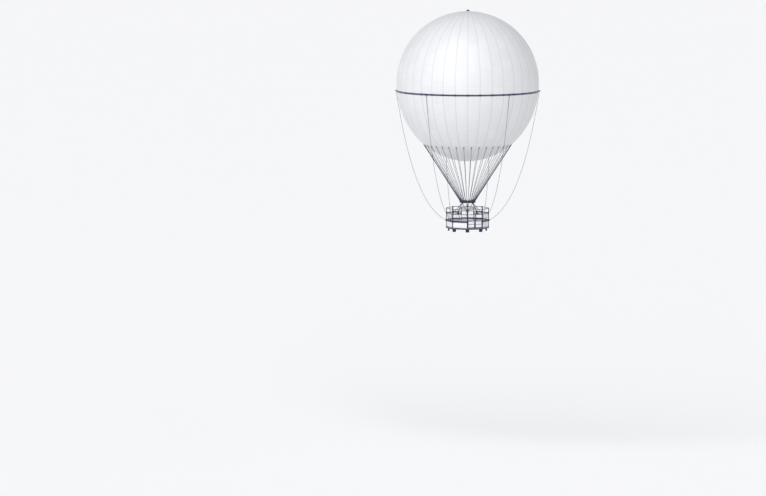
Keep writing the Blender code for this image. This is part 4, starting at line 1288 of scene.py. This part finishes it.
def hang_gondola_legs():
    """A shackle under the load ring with three rope legs to clevises on the beams, four times round."""
    azimuth = CORNER
    side = spot(azimuth + 90, 1.0)
    head = Build()
    top = RING_Z - RING_TUBE
    start = spot(azimuth, RING_R, top - EYE_DROP)
    low, high = [spot(azimuth, RING_R, top - drop) for drop in (0.18, 0.01)]
    head.bar(low, high, 0.18, 0.12, side, 0.03, 0.012)
    for s in (-1, 1):
        low, high = [spot(azimuth, RING_R, z) + side * s * 0.08 for z in (top - 0.12, RING_Z)]
        head.tongue(low, high, 0.19, 0.018, side)
    head.tube(start - side * 0.11, start + side * 0.11, 0.024, 20)
    bolts = [(start + side * s * 0.105, side * s) for s in (-1, 1)]
    foot_z = SECOND_Z + BEAM_H / 2 + 0.015 + SEAT_GAP
    routes, steps = [], 8
    for corner, shift in ((0, 1), (1, 0), (2, -1)):
        radial, aside = spot(corner * CORNER, 1.0), spot(corner * CORNER + 90, 1.0)
        foot = spot(corner * CORNER, LEG_FOOT_R, foot_z) + aside * (shift * 0.032)
        pin = foot + UP * 0.06
        head.bar(foot, foot + UP * 0.02, 0.056, 0.14, aside, 0.006, 0.003)
        way = (foot + UP * 0.04 - start).normalized()
        for s in (-1, 1):
            head.tongue(foot + UP * 0.015 + aside * s * 0.019, pin + aside * s * 0.019, 0.07, 0.010, aside)
        head.tube(pin - aside * 0.03, pin + aside * 0.03, 0.012)
        bolts += [(pin + aside * s * 0.028, aside * s) for s in (-1, 1)]
        bolts += [(foot + UP * 0.02 + radial * r, UP) for r in (-0.055, 0.055)]
        head.socket(foot + UP * 0.05, -way, LEG_SOCKET, 0.24, LEG_TAPER, 16)
        head.socket(start + way * 0.09, way, LEG_SOCKET, 0.20, LEG_TAPER, 16)
        upper = start + way * 0.1
        routes.append([upper + (foot - upper) * (k / steps) for k in range(steps + 1)])
    dressed(head, "leg_fittings", "navy", around(4), instead=numbered("hanger_legs", 4))
    fasten("leg_bolts", bolts, bolt(0.012, 0.011), turns=QUARTERS)
    legs = chained(turned_copies(routes, QUARTERS))
    dressed(legs, "gondola_legs", "strands", laid(LEG_R, ROPE_STRANDS, 0.22, ROPE_LAY, 12, 20))


# Gondola. A side is built between azimuths 0 and 45 and a corner at azimuth 0, then copied round.
SIDE_OUT = spot(CORNER / 2, 1.0)
SIDE_ALONG = spot(CORNER / 2 + 90, 1.0)


def on_side(along, height, out=0.0):
    """A point on the side between azimuth 0 and 45: along it from its middle, up, and out of its plane."""
    return spot(CORNER / 2, FACE_IN + out, height) + spot(CORNER / 2 + 90, along)


def eight(build, name, look, instead=()):
    """Dresses a shape with its copies at every corner or side."""
    dressed(build, name, look, around(SIDES), instead=instead)


def seven(build, name, look, instead=()):
    """Dresses a shape with its copies on the seven sides without gates."""
    dressed(build, name, look, around(SIDES - 1, CORNER, CORNER), instead=instead)


def octagon(build, outline, radius, height):
    """Carries an outline round the gondola, with its middle this far from the axis at the corners."""
    rings = [[spot(a, radius + x / CORNER_FLAT, height + y) for x, y in outline] for a in EIGHT]
    build.loft(rings, loop=True)


def frame_floor():
    """Channel rims, I-section joists with stiffeners, and the ties between the joists."""
    high = DECK_Z - DECK_T - SEAT_GAP
    deep, middle = high - FLOOR_LOW, (high + FLOOR_LOW) / 2
    rims = Build()
    for radius, turn in ((FLOOR_OUT - RIM_W / 2, 1), (FLOOR_IN + RIM_W / 2, -1)):
        octagon(rims, [(x * turn, y) for x, y in channel(RIM_W, deep, 0.014)], radius, middle)
    dressed(rims, "floor_rims", "navy", instead=["floor_frame"], sharp=30)
    joist = Build()
    start, end = spot(0, FLOOR_IN + 0.02, middle), spot(0, FLOOR_OUT - 0.02, middle)
    joist.sweep(joist_section(deep - 0.02, 0.12, 0.013), start, end, UP)
    half = UP * (deep / 2 - 0.02)
    for r in (1.75, 2.4):
        for s in (-1, 1):
            edge = spot(0, r, middle) + RIGHT * s * 0.03
            joist.bar(edge - half, edge + half, 0.055, 0.010, RIGHT, 0.003, 0.0)
    for r in (1.95, 2.65):
        near, far = spot(0, r, middle) + spot(90, 0.03), spot(CORNER, r, middle) - spot(CORNER + 90, 0.03)
        joist.bar(near, far, 0.09, 0.05, UP, 0.006)
    eight(joist, "floor_joists", "navy")


def lay_deck():
    """Eight deck plates with their raised bars, the trim at both edges, and the screws."""
    deck = Build()
    low, top, bevel = DECK_Z - DECK_T, DECK_Z, 0.004
    outline = [(FLOOR_IN, low), (FLOOR_OUT, low), (FLOOR_OUT, top - bevel), (FLOOR_OUT - bevel, top)]
    outline += [(FLOOR_IN + bevel, top), (FLOOR_IN, top - bevel)]
    inset = degrees(atan2(0.006, 2.3))
    deck.loft([[spot(a, r, z) for r, z in outline] for a in (inset, CORNER - inset)])
    eight(deck, "deck_plates", "tread", instead=["floor_deck"])

    bars = Build()
    near, far = (INNER_R + 0.12) * CORNER_FLAT, FACE_IN - 0.06
    for i in range(int((far - near) / TREAD_PITCH) + 1):
        out = near + i * TREAD_PITCH
        reach = int((out * tan(pi / SIDES) - TREAD_LENGTH / 2) / TREAD_PITCH)
        for j in range(-reach, reach + 1):
            centre = SIDE_OUT * out + SIDE_ALONG * (j * TREAD_PITCH) + UP * DECK_Z
            lean = SIDE_ALONG if (i + j) % 2 else -SIDE_ALONG
            along = (SIDE_OUT + lean).normalized() * (TREAD_LENGTH / 2)
            across = UP.cross(along).normalized() * (TREAD_WIDTH / 2)
            corners = [along * x + across * y for x, y in circle(1.0, 4)]
            foot, top = [c - UP * 0.001 for c in corners], [c * 0.75 + UP * TREAD_HEIGHT for c in corners]
            bars.loft([[centre + c for c in ring] for ring in (foot, top)])
    eight(bars, "tread_bars", "tread")

    trim, screws = Build(), []
    for radius in (FLOOR_OUT - TRIM_IN, FLOOR_IN + TRIM_IN):
        octagon(trim, rounded(0.06, 0.008, 0.003), radius, DECK_Z + 0.001)
        a, b = spot(0, radius, DECK_Z + 0.005), spot(CORNER, radius, DECK_Z + 0.005)
        count = max(3, int((b - a).length / 0.22))
        screws += [(a + (b - a) * ((k + 0.5) / count), UP) for k in range(count)]
    dressed(trim, "deck_edge_trim", "alloy")
    screws += [(spot(s, r, DECK_Z), UP) for s in (-1, 1) for r in (1.55, 1.95, 2.35, 2.75, 3.1)]
    fasten("deck_screws", screws, dome(0.009, 0.004), turns=EIGHT)


def stand_buffers():
    """A ribbed buffer under each corner, bolted to the floor through a steel plate."""
    wide, deep = FOOT_SIZE
    top = FLOOR_LOW + 0.01 - SEAT_GAP
    plate_z = top - 0.022
    levels = [(FOOT_LOW, 0.020), (FOOT_LOW + 0.018, 0.0)]
    for k in range(3):
        z = FOOT_LOW + 0.09 + 0.095 * k
        levels += [(z, 0.0), (z + 0.008, 0.010), (z + 0.018, 0.010), (z + 0.026, 0.0)]
    levels += [(plate_z - 0.012, 0.0), (plate_z, 0.010)]
    rings = []
    for z, pull in levels:
        outline = rounded(wide - 2 * pull, deep - 2 * pull, 0.035, 4)
        rings.append([spot(0, FOOT_R + y, z) + RIGHT * x for x, y in outline])
    buffer = Build()
    buffer.loft(rings)
    eight(buffer, "buffers", "rubber", numbered("foot", SIDES))
    mount = Build()
    mount.sweep(rounded(wide, deep, 0.02), spot(0, FOOT_R, plate_z), spot(0, FOOT_R, top), RIGHT, 0.003)
    eight(mount, "buffer_plates", "steel")
    spread = [(x, y) for x in (-0.24, -0.10, 0.10, 0.24) for y in (-0.10, 0.10)]
    bolts = [(spot(0, FOOT_R + y, top) + RIGHT * x, UP) for x, y in spread]
    fasten("buffer_bolts", bolts, bolt(0.013, 0.010), "alloy", EIGHT)


def raise_portals():
    """Both posts and the radial beam at each corner, with base flanges, gussets and weld beads."""
    portal = Build()
    posts = ((OUTER_R, OUTER_POST, -1), (INNER_R, INNER_POST, 1))
    for radius, post, _ in posts:
        low, high = spot(0, radius, DECK_Z), spot(0, radius, HEAD_Z)
        portal.tube(low, high, post, 24)
        flange = [(post * 1.55, 0.0), (post * 1.55, 0.010), (post * 1.48, 0.013)]
        flange += [(post * 1.06, 0.013), (post, 0.022)]
        portal.turned(flange, low, UP, 24)
        portal.turned(flange, high, -UP, 24)
        for z in (SECOND_Z - 0.06, SECOND_Z + 0.06):
            portal.turned([(post, -0.008), (post + 0.006, 0.0), (post, 0.008)], spot(0, radius, z), UP, 24)
    portal.bar(spot(0, INNER_R, SECOND_Z), spot(0, OUTER_R, SECOND_Z), BEAM_H, BEAM_W, UP, 0.012)
    pad = [spot(0, LEG_FOOT_R + r, SECOND_Z + BEAM_H / 2) for r in (-0.10, 0.10)]
    portal.bar(*pad, 0.03, 0.15, UP, 0.008)
    gusset = ((0.0, 0.0), (0.22, 0.0), (0.19, 0.03), (0.07, 0.22), (0.0, 0.22))
    for radius, _, way in posts:
        for s in (-1, 1):
            z = SECOND_Z + s * (BEAM_H / 2 - 0.01)
            portal.plate([spot(0, radius + way * r, z + s * h) for r, h in gusset], 0.014, RIGHT)
    eight(portal, "portal_frames", "navy", numbered("portal", SIDES))
    bolts = []
    for radius, post, _ in posts:
        ring = [Vector((x, y, 0)) for x, y in circle(post * 1.32, 6)]
        bolts += [(spot(0, radius, DECK_Z + 0.013) + p, UP) for p in ring]
        bolts += [(spot(0, radius, HEAD_Z - 0.013) + p, -UP) for p in ring]
    spread = [(r, x) for r in (-0.08, 0.08) for x in (-0.062, 0.062)]
    bolts += [(spot(0, LEG_FOOT_R + r, SECOND_Z + 0.065) + RIGHT * x, UP) for r, x in spread]
    fasten("portal_bolts", bolts, bolt(0.008, 0.008), turns=EIGHT)


def bend_rings():
    """The top ring and the well ring, with bolted fishplates at their corners."""
    rings, plates, bolts = Build(), Build(), []
    z = TOP_Z - TOP_RING_H / 2
    out = spot(0, 1.0)
    for radius, wide in ((OUTER_R, 0.12), (INNER_R, 0.10)):
        octagon(rings, rounded(wide * CORNER_FLAT, TOP_RING_H, 0.014), radius, z)
        for s in (-1, 1):
            way = (spot(s * CORNER, radius) - spot(0, radius)).normalized()
            normal = (way * out.dot(way) - out).normalized()
            face = spot(0, radius, z) + way * 0.05 - normal * (wide * CORNER_FLAT / 2 + 0.004)
            if radius == OUTER_R:
                plates.bar(face, face + way * 0.20, 0.055, 0.010, UP, 0.003)
                bolts += [(face + way * (0.04 + 0.06 * k) - normal * 0.005, -normal) for k in range(3)]
            cover = spot(0, radius, TOP_Z + 0.004) + way * 0.02
            plates.bar(cover, cover + way * 0.20, 0.008, wide * 0.6, UP, 0.003)
            bolts += [(cover + way * (0.05 + 0.10 * k) + UP * 0.004, UP) for k in range(2)]
    dressed(rings, "roof_rings", "navy", instead=["top_ring", "well_ring"])
    eight(plates, "ring_fishplates", "navy")
    fasten("ring_bolts", bolts, bolt(0.010, 0.010), turns=EIGHT)


def side_bar(build, a, b, wide, deep, corner=0.008):
    """A bar in a side's plane between two points, each given along and up."""
    build.bar(on_side(*a), on_side(*b), deep, wide, SIDE_OUT, corner)


def pressed_panel(build, a, b, low, high, thick, ribs):
    """A sheet in a side's plane with upright swages pressed in it."""
    middle = (low + high) / 2
    build.bar(on_side(a, middle), on_side(b, middle), thick, high - low, SIDE_OUT, 0.003, 0.002)
    for k in range(ribs):
        x = a + (b - a) * (k + 0.5) / ribs
        for face in (-1, 1):
            foot, head = [on_side(x, z, face * thick / 2) for z in (low + 0.06, high - 0.06)]
            build.bar(foot, head, 0.014, 0.05, SIDE_OUT, 0.006, 0.006)


def diamond_net(a, b, low, high, mesh):
    """The cords of a diamond net that fills a window, and the places of its knots."""
    wide, tall = b - a, high - low
    columns, rows = max(2, round(wide / mesh)), max(2, round(tall / mesh))
    step_x, step_y = wide / columns, tall / rows

    def corner(i, j):
        belly = 0.03 * sin(pi * i / (2 * columns)) * sin(pi * j / (2 * rows))
        return on_side(a + step_x * i / 2, low + step_y * j / 2, -belly)

    cords = []
    for lean in (-1, 1):
        for first in range(-2 * rows, 2 * columns + 2 * rows + 1, 2):
            cells = [(first + lean * j, j) for j in range(2 * rows + 1)]
            line = [corner(i, j) for i, j in cells if 0 <= i <= 2 * columns]
            if len(line) > 1:
                cords.append(line)
    crossings = [(i, j) for i in range(2 * columns + 1) for j in range(i % 2, 2 * rows + 1, 2)]
    return cords, [(corner(i, j), SIDE_OUT) for i, j in crossings]


def close_sides():
    """The frames of the seven closed sides, with gussets in their corners."""
    side = Build()
    for s in (-1, 1):
        side_bar(side, (s * STILE_MID, DECK_Z), (s * STILE_MID, HEAD_Z), STILE, STILE)
    bars = ((SILL_Z, 0.05, 0.044), (PARAPET_Z, 0.045, 0.042), (RAIL_Z, 0.055, 0.046), (SECOND_Z, 0.08, 0.047))
    for z, wide, deep in bars:
        side_bar(side, (-SIDE_REACH, z), (SIDE_REACH, z), wide, deep)
    for x_sign in (-1, 1):
        for z, s in ((SECOND_Z - 0.04, -1), (SECOND_Z + 0.04, 1), (HEAD_Z, -1)):
            x = x_sign * WINDOW_HALF
            corners = [on_side(x, z), on_side(x - x_sign * 0.12, z), on_side(x, z + s * 0.12)]
            side.plate(corners, 0.010, SIDE_OUT)
    seven(side, "side_frames", "navy", numbered("side", SIDES - 1))


def fill_sides():
    """Below the rail of each closed side a pressed panel and its rivets, above it braces and a net."""
    panel = Build()
    low, high = SILL_Z + 0.02, PARAPET_Z - 0.02
    pressed_panel(panel, -STILE_MID, STILE_MID, low, high, SIDE_PANEL_T, 7)
    seven(panel, "side_panels", "white")
    first, last, steps = 0.06 - STILE_MID, STILE_MID - 0.06, 14
    rivets = []
    for face in (-1, 1):
        for k in range(steps + 1):
            x = first + (last - first) * k / steps
            spots = [on_side(x, z, face * SIDE_PANEL_T / 2) for z in (low + 0.03, high - 0.03)]
            rivets += [(p, SIDE_OUT * face) for p in spots]
    fasten("panel_rivets", rivets, dome(0.008, 0.004), "alloy", EIGHT[1:])

    braces = Build()
    turnbuckle = mirrored([(0.020, 0.14), (0.014, 0.15), (0.014, 0.165), (0.009, 0.17)])
    for high, low in ((SECOND_Z - 0.03, RAIL_Z + 0.03), (HEAD_Z - 0.05, SECOND_Z + 0.03)):
        a, b = on_side(-SIDE_REACH, high), on_side(SIDE_REACH, low)
        braces.tube(a, b, 0.008, 10)
        way = (b - a).normalized()
        braces.turned(turnbuckle, a.lerp(b, 0.5), way, 16)
        for end, s in ((a, 1), (b, -1)):
            braces.socket(end + way * s * 0.04, way * s, 0.016, 0.14, 0.008, 14)
    seven(braces, "side_braces", "steel")

    cords, knots = diamond_net(-WINDOW_HALF, WINDOW_HALF, RAIL_Z + 0.03, SECOND_Z - 0.04, 0.16)
    dressed(chained(turned_copies(cords, EIGHT[1:])), "window_nets", "net", strand(0.0035, 5))
    fasten("net_knots", knots, dome(0.008, 0.008), "net", EIGHT[1:])


def line_well():
    """The white wall round the well, with its cap rail, uprights and rivets."""
    middle_r = INNER_R + (INNER_POST + SEAT_GAP) / CORNER_FLAT + WELL_WALL_T / 2 / CORNER_FLAT
    low, high = DECK_Z + SEAT_GAP, RUB_TOP
    wall = Build()
    octagon(wall, rounded(WELL_PANEL_T, high - low - 0.03, 0.004), middle_r, (low + high) / 2)
    centre, half = spot(CORNER / 2, middle_r * CORNER_FLAT), middle_r * sin(pi / SIDES)
    for k in (-1, 0, 1):
        for a in EIGHT:
            about = about_axis(a)
            for s in (-1, 1):
                face = centre + SIDE_ALONG * (k * half * 0.56) + SIDE_OUT * s * (WELL_PANEL_T / 2)
                foot, head = [about @ (face + UP * z) for z in (low + 0.10, high - 0.10)]
                wall.bar(foot, head, 0.012, 0.05, about @ SIDE_OUT, 0.005, 0.005)
    dressed(wall, "well_panels", "white", instead=["well_wall"])
    trim = Build()
    for z, size in ((high - 0.020, (0.034, 0.040)), (low + 0.022, (0.030, 0.044))):
        octagon(trim, rounded(*size, 0.010), middle_r, z)
    dressed(trim, "well_rails", "navy")
    rivets = []
    for s in (-1, 1):
        for k in range(-3, 4):
            face = centre + SIDE_ALONG * (k * half * 0.27) + SIDE_OUT * s * (WELL_PANEL_T / 2)
            rivets += [(face + UP * z, SIDE_OUT * s) for z in (low + 0.06, high - 0.06)]
    fasten("well_rivets", rivets, dome(0.007, 0.0035), "alloy", EIGHT)


def wrap_rub_rail():
    """The band outside the posts, open at the gates, with its brackets, rope bosses and sockets."""
    middle = OUTER_R + (OUTER_POST + SEAT_GAP) / CORNER_FLAT + RUB_T / 2 / CORNER_FLAT
    z, tall = (RUB_TOP + RUB_LOW) / 2, RUB_TOP - RUB_LOW
    # The band's outer side: shares of its height up, and of its thickness out, from its middle.
    rise = [(-0.50, 0.0), (-0.46, 0.42), (-0.38, 0.50), (-0.30, 0.50), (-0.26, 0.40), (-0.20, 0.40)]
    rise += [(-0.16, 0.50), (-0.04, 0.50), (0.0, 0.40)]
    rise += [(-h, out) for h, out in rise[-2::-1]]
    outline = [(out * RUB_T / CORNER_FLAT, h * tall) for h, out in rise]
    outline += [(-RUB_T / 2 / CORNER_FLAT, h * tall) for h in (0.46, -0.46)]
    rail = Build()
    rail.loft([[spot(a, middle + x, z + y) for x, y in outline] for a in EIGHT[1:] + [360.0]])
    dressed(rail, "rub_band", "navy", instead=["rub_rail"], sharp=40)

    fittings, sockets, bolts = Build(), Build(), []
    high = BOSS_H / 2
    boss = mirrored([(BOSS_R, high - 0.01), (BOSS_R - 0.01, high), (BOSS_R * 0.5, high + 0.004)])
    for azimuth, corner in ROPES:
        eye = mooring_eye(corner)
        out, side = spot(corner, 1.0), spot(corner + 90, 1.0)
        fittings.turned(boss, eye, UP, 32)
        bracket = eye - out * 0.06
        fittings.bar(bracket - side * 0.11, bracket + side * 0.11, 0.16, 0.02, UP, 0.006)
        face = eye - out * 0.05
        bolts += [(face + side * s * 0.092 + UP * h, out) for s in (-1, 1) for h in (-0.05, 0.05)]
        bolts += [(eye + UP * s * (high + 0.004), UP * s) for s in (-1, 1)]
        reach = rope_ends(azimuth, corner)[0] - eye
        sockets.socket(eye, reach.normalized(), SOCKET_R, reach.length, ROPE_R)
    for a, s in ((CORNER, 1), (360.0, -1)):
        at = spot(a, middle, z)
        way = (spot(a + s * CORNER, middle) - spot(a, middle)).normalized()
        fittings.bar(at - way * 0.004, at + way * 0.012, tall + 0.006, RUB_T + 0.006, UP, 0.010)
    dressed(fittings, "rub_band_fittings", "navy")
    dressed(sockets, "gondola_rope_sockets", "steel")
    fasten("rub_band_bolts", bolts, bolt(0.013, 0.012))


def dress_gate_frame():
    """The gates' frame keeps its solid, painted, with bolts at its hinges, posts and rails."""
    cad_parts["gate_frame"].data.materials.clear()
    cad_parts["gate_frame"].data.materials.append(LOOKS["navy"][0])
    bolts = []
    for s in (-1, 1):
        for z in (GATE_LOW - HINGE_AWAY, GATE_TOP + HINGE_AWAY):
            bolts += [(on_side(s * (HINGE_MID + x), z, 0.005), SIDE_OUT) for x in (-0.012, 0.022)]
        heights = (DECK_Z + 0.12, -21.0, -20.6, -20.1, -19.8)
        bolts += [(on_side(s * STILE_MID, z, STILE / 2), SIDE_OUT) for z in heights]
    bolts += [(on_side(0, z, 0.023), SIDE_OUT) for z in (DECK_Z + 0.08, SECOND_Z - 0.10)]
    fasten("gate_frame_bolts", bolts, bolt(0.008, 0.008))


def hang_gate(body, s):
    """A rimmed, pressed leaf on its hinge rod, with a latch, on the side of the middle post that s says."""
    middle, rail_t = (GATE_LOW + GATE_TOP) / 2, GATE_T - 0.003
    near = s * (SIDE_END - STILE - GATE_EDGE_GAP - GATE_RIM / 2)
    far = s * (MID_POST / 2 + GATE_EDGE_GAP + GATE_RIM / 2)
    rim = Build()
    for x in (near, far):
        side_bar(rim, (x, GATE_LOW), (x, GATE_TOP), GATE_RIM, GATE_T)
    for z in (GATE_LOW + GATE_RIM * 0.6, middle, GATE_TOP - GATE_RIM * 0.6):
        side_bar(rim, (near, z), (far, z), GATE_RIM, rail_t)
    dressed(rim, f"{body}_rim", "navy", body=body, instead=[body])
    leaf = Build()
    for low, top in ((GATE_LOW + 0.05, middle - 0.02), (middle + 0.02, GATE_TOP - 0.05)):
        pressed_panel(leaf, min(near, far) + 0.02, max(near, far) - 0.02, low, top, 0.014, 4)
    dressed(leaf, f"{body}_leaf", "white", body=body)
    hardware = Build()
    pivot = on_side(s * HINGE_MID, middle, -HINGE_IN)
    reach = UP * ((GATE_TOP - GATE_LOW) / 2 + HINGE_AWAY + HINGE_H / 2)
    hardware.tube(pivot - reach, pivot + reach, GATE_ROD, 24, 0.002)
    latch, toward = on_side(far, middle + 0.30), SIDE_ALONG * s
    case, half = latch - SIDE_OUT * 0.032, UP * 0.07
    hardware.bar(case - half, case + half, 0.024, 0.042, SIDE_OUT, 0.006)
    grip = latch - SIDE_OUT * 0.080
    hardware.tube(latch - SIDE_OUT * 0.044, grip, 0.010)
    hardware.bar(grip - toward * 0.010, grip + toward * 0.11, 0.014, 0.024, SIDE_OUT, 0.006)
    dressed(hardware, f"{body}_hardware", "steel", body=body)
    rivets, columns = [], 6
    for face in (-1, 1):
        for k in range(columns):
            x = near + (far - near) * (k + 0.5) / columns
            heights = (GATE_LOW + 0.03, middle, GATE_TOP - 0.03)
            rivets += [(on_side(x, z, face * rail_t / 2), SIDE_OUT * face) for z in heights]
    fasten(f"{body}_rivets", rivets, dome(0.007, 0.0035), "alloy", body=body)


aim_camera()
hang_handling_ropes()
light_studio()
sew_envelope()
lathe_crown_valve()
wrap_girdle()
sew_line_patches()
rig_suspension_lines()
clamp_collars()
weld_load_ring()
fit_tether_joint()
hang_tether()
hang_gondola_legs()
frame_floor()
lay_deck()
stand_buffers()
raise_portals()
bend_rings()
close_sides()
fill_sides()
line_well()
wrap_rub_rail()
dress_gate_frame()
hang_gate("gate_left", -1)
hang_gate("gate_right", 1)
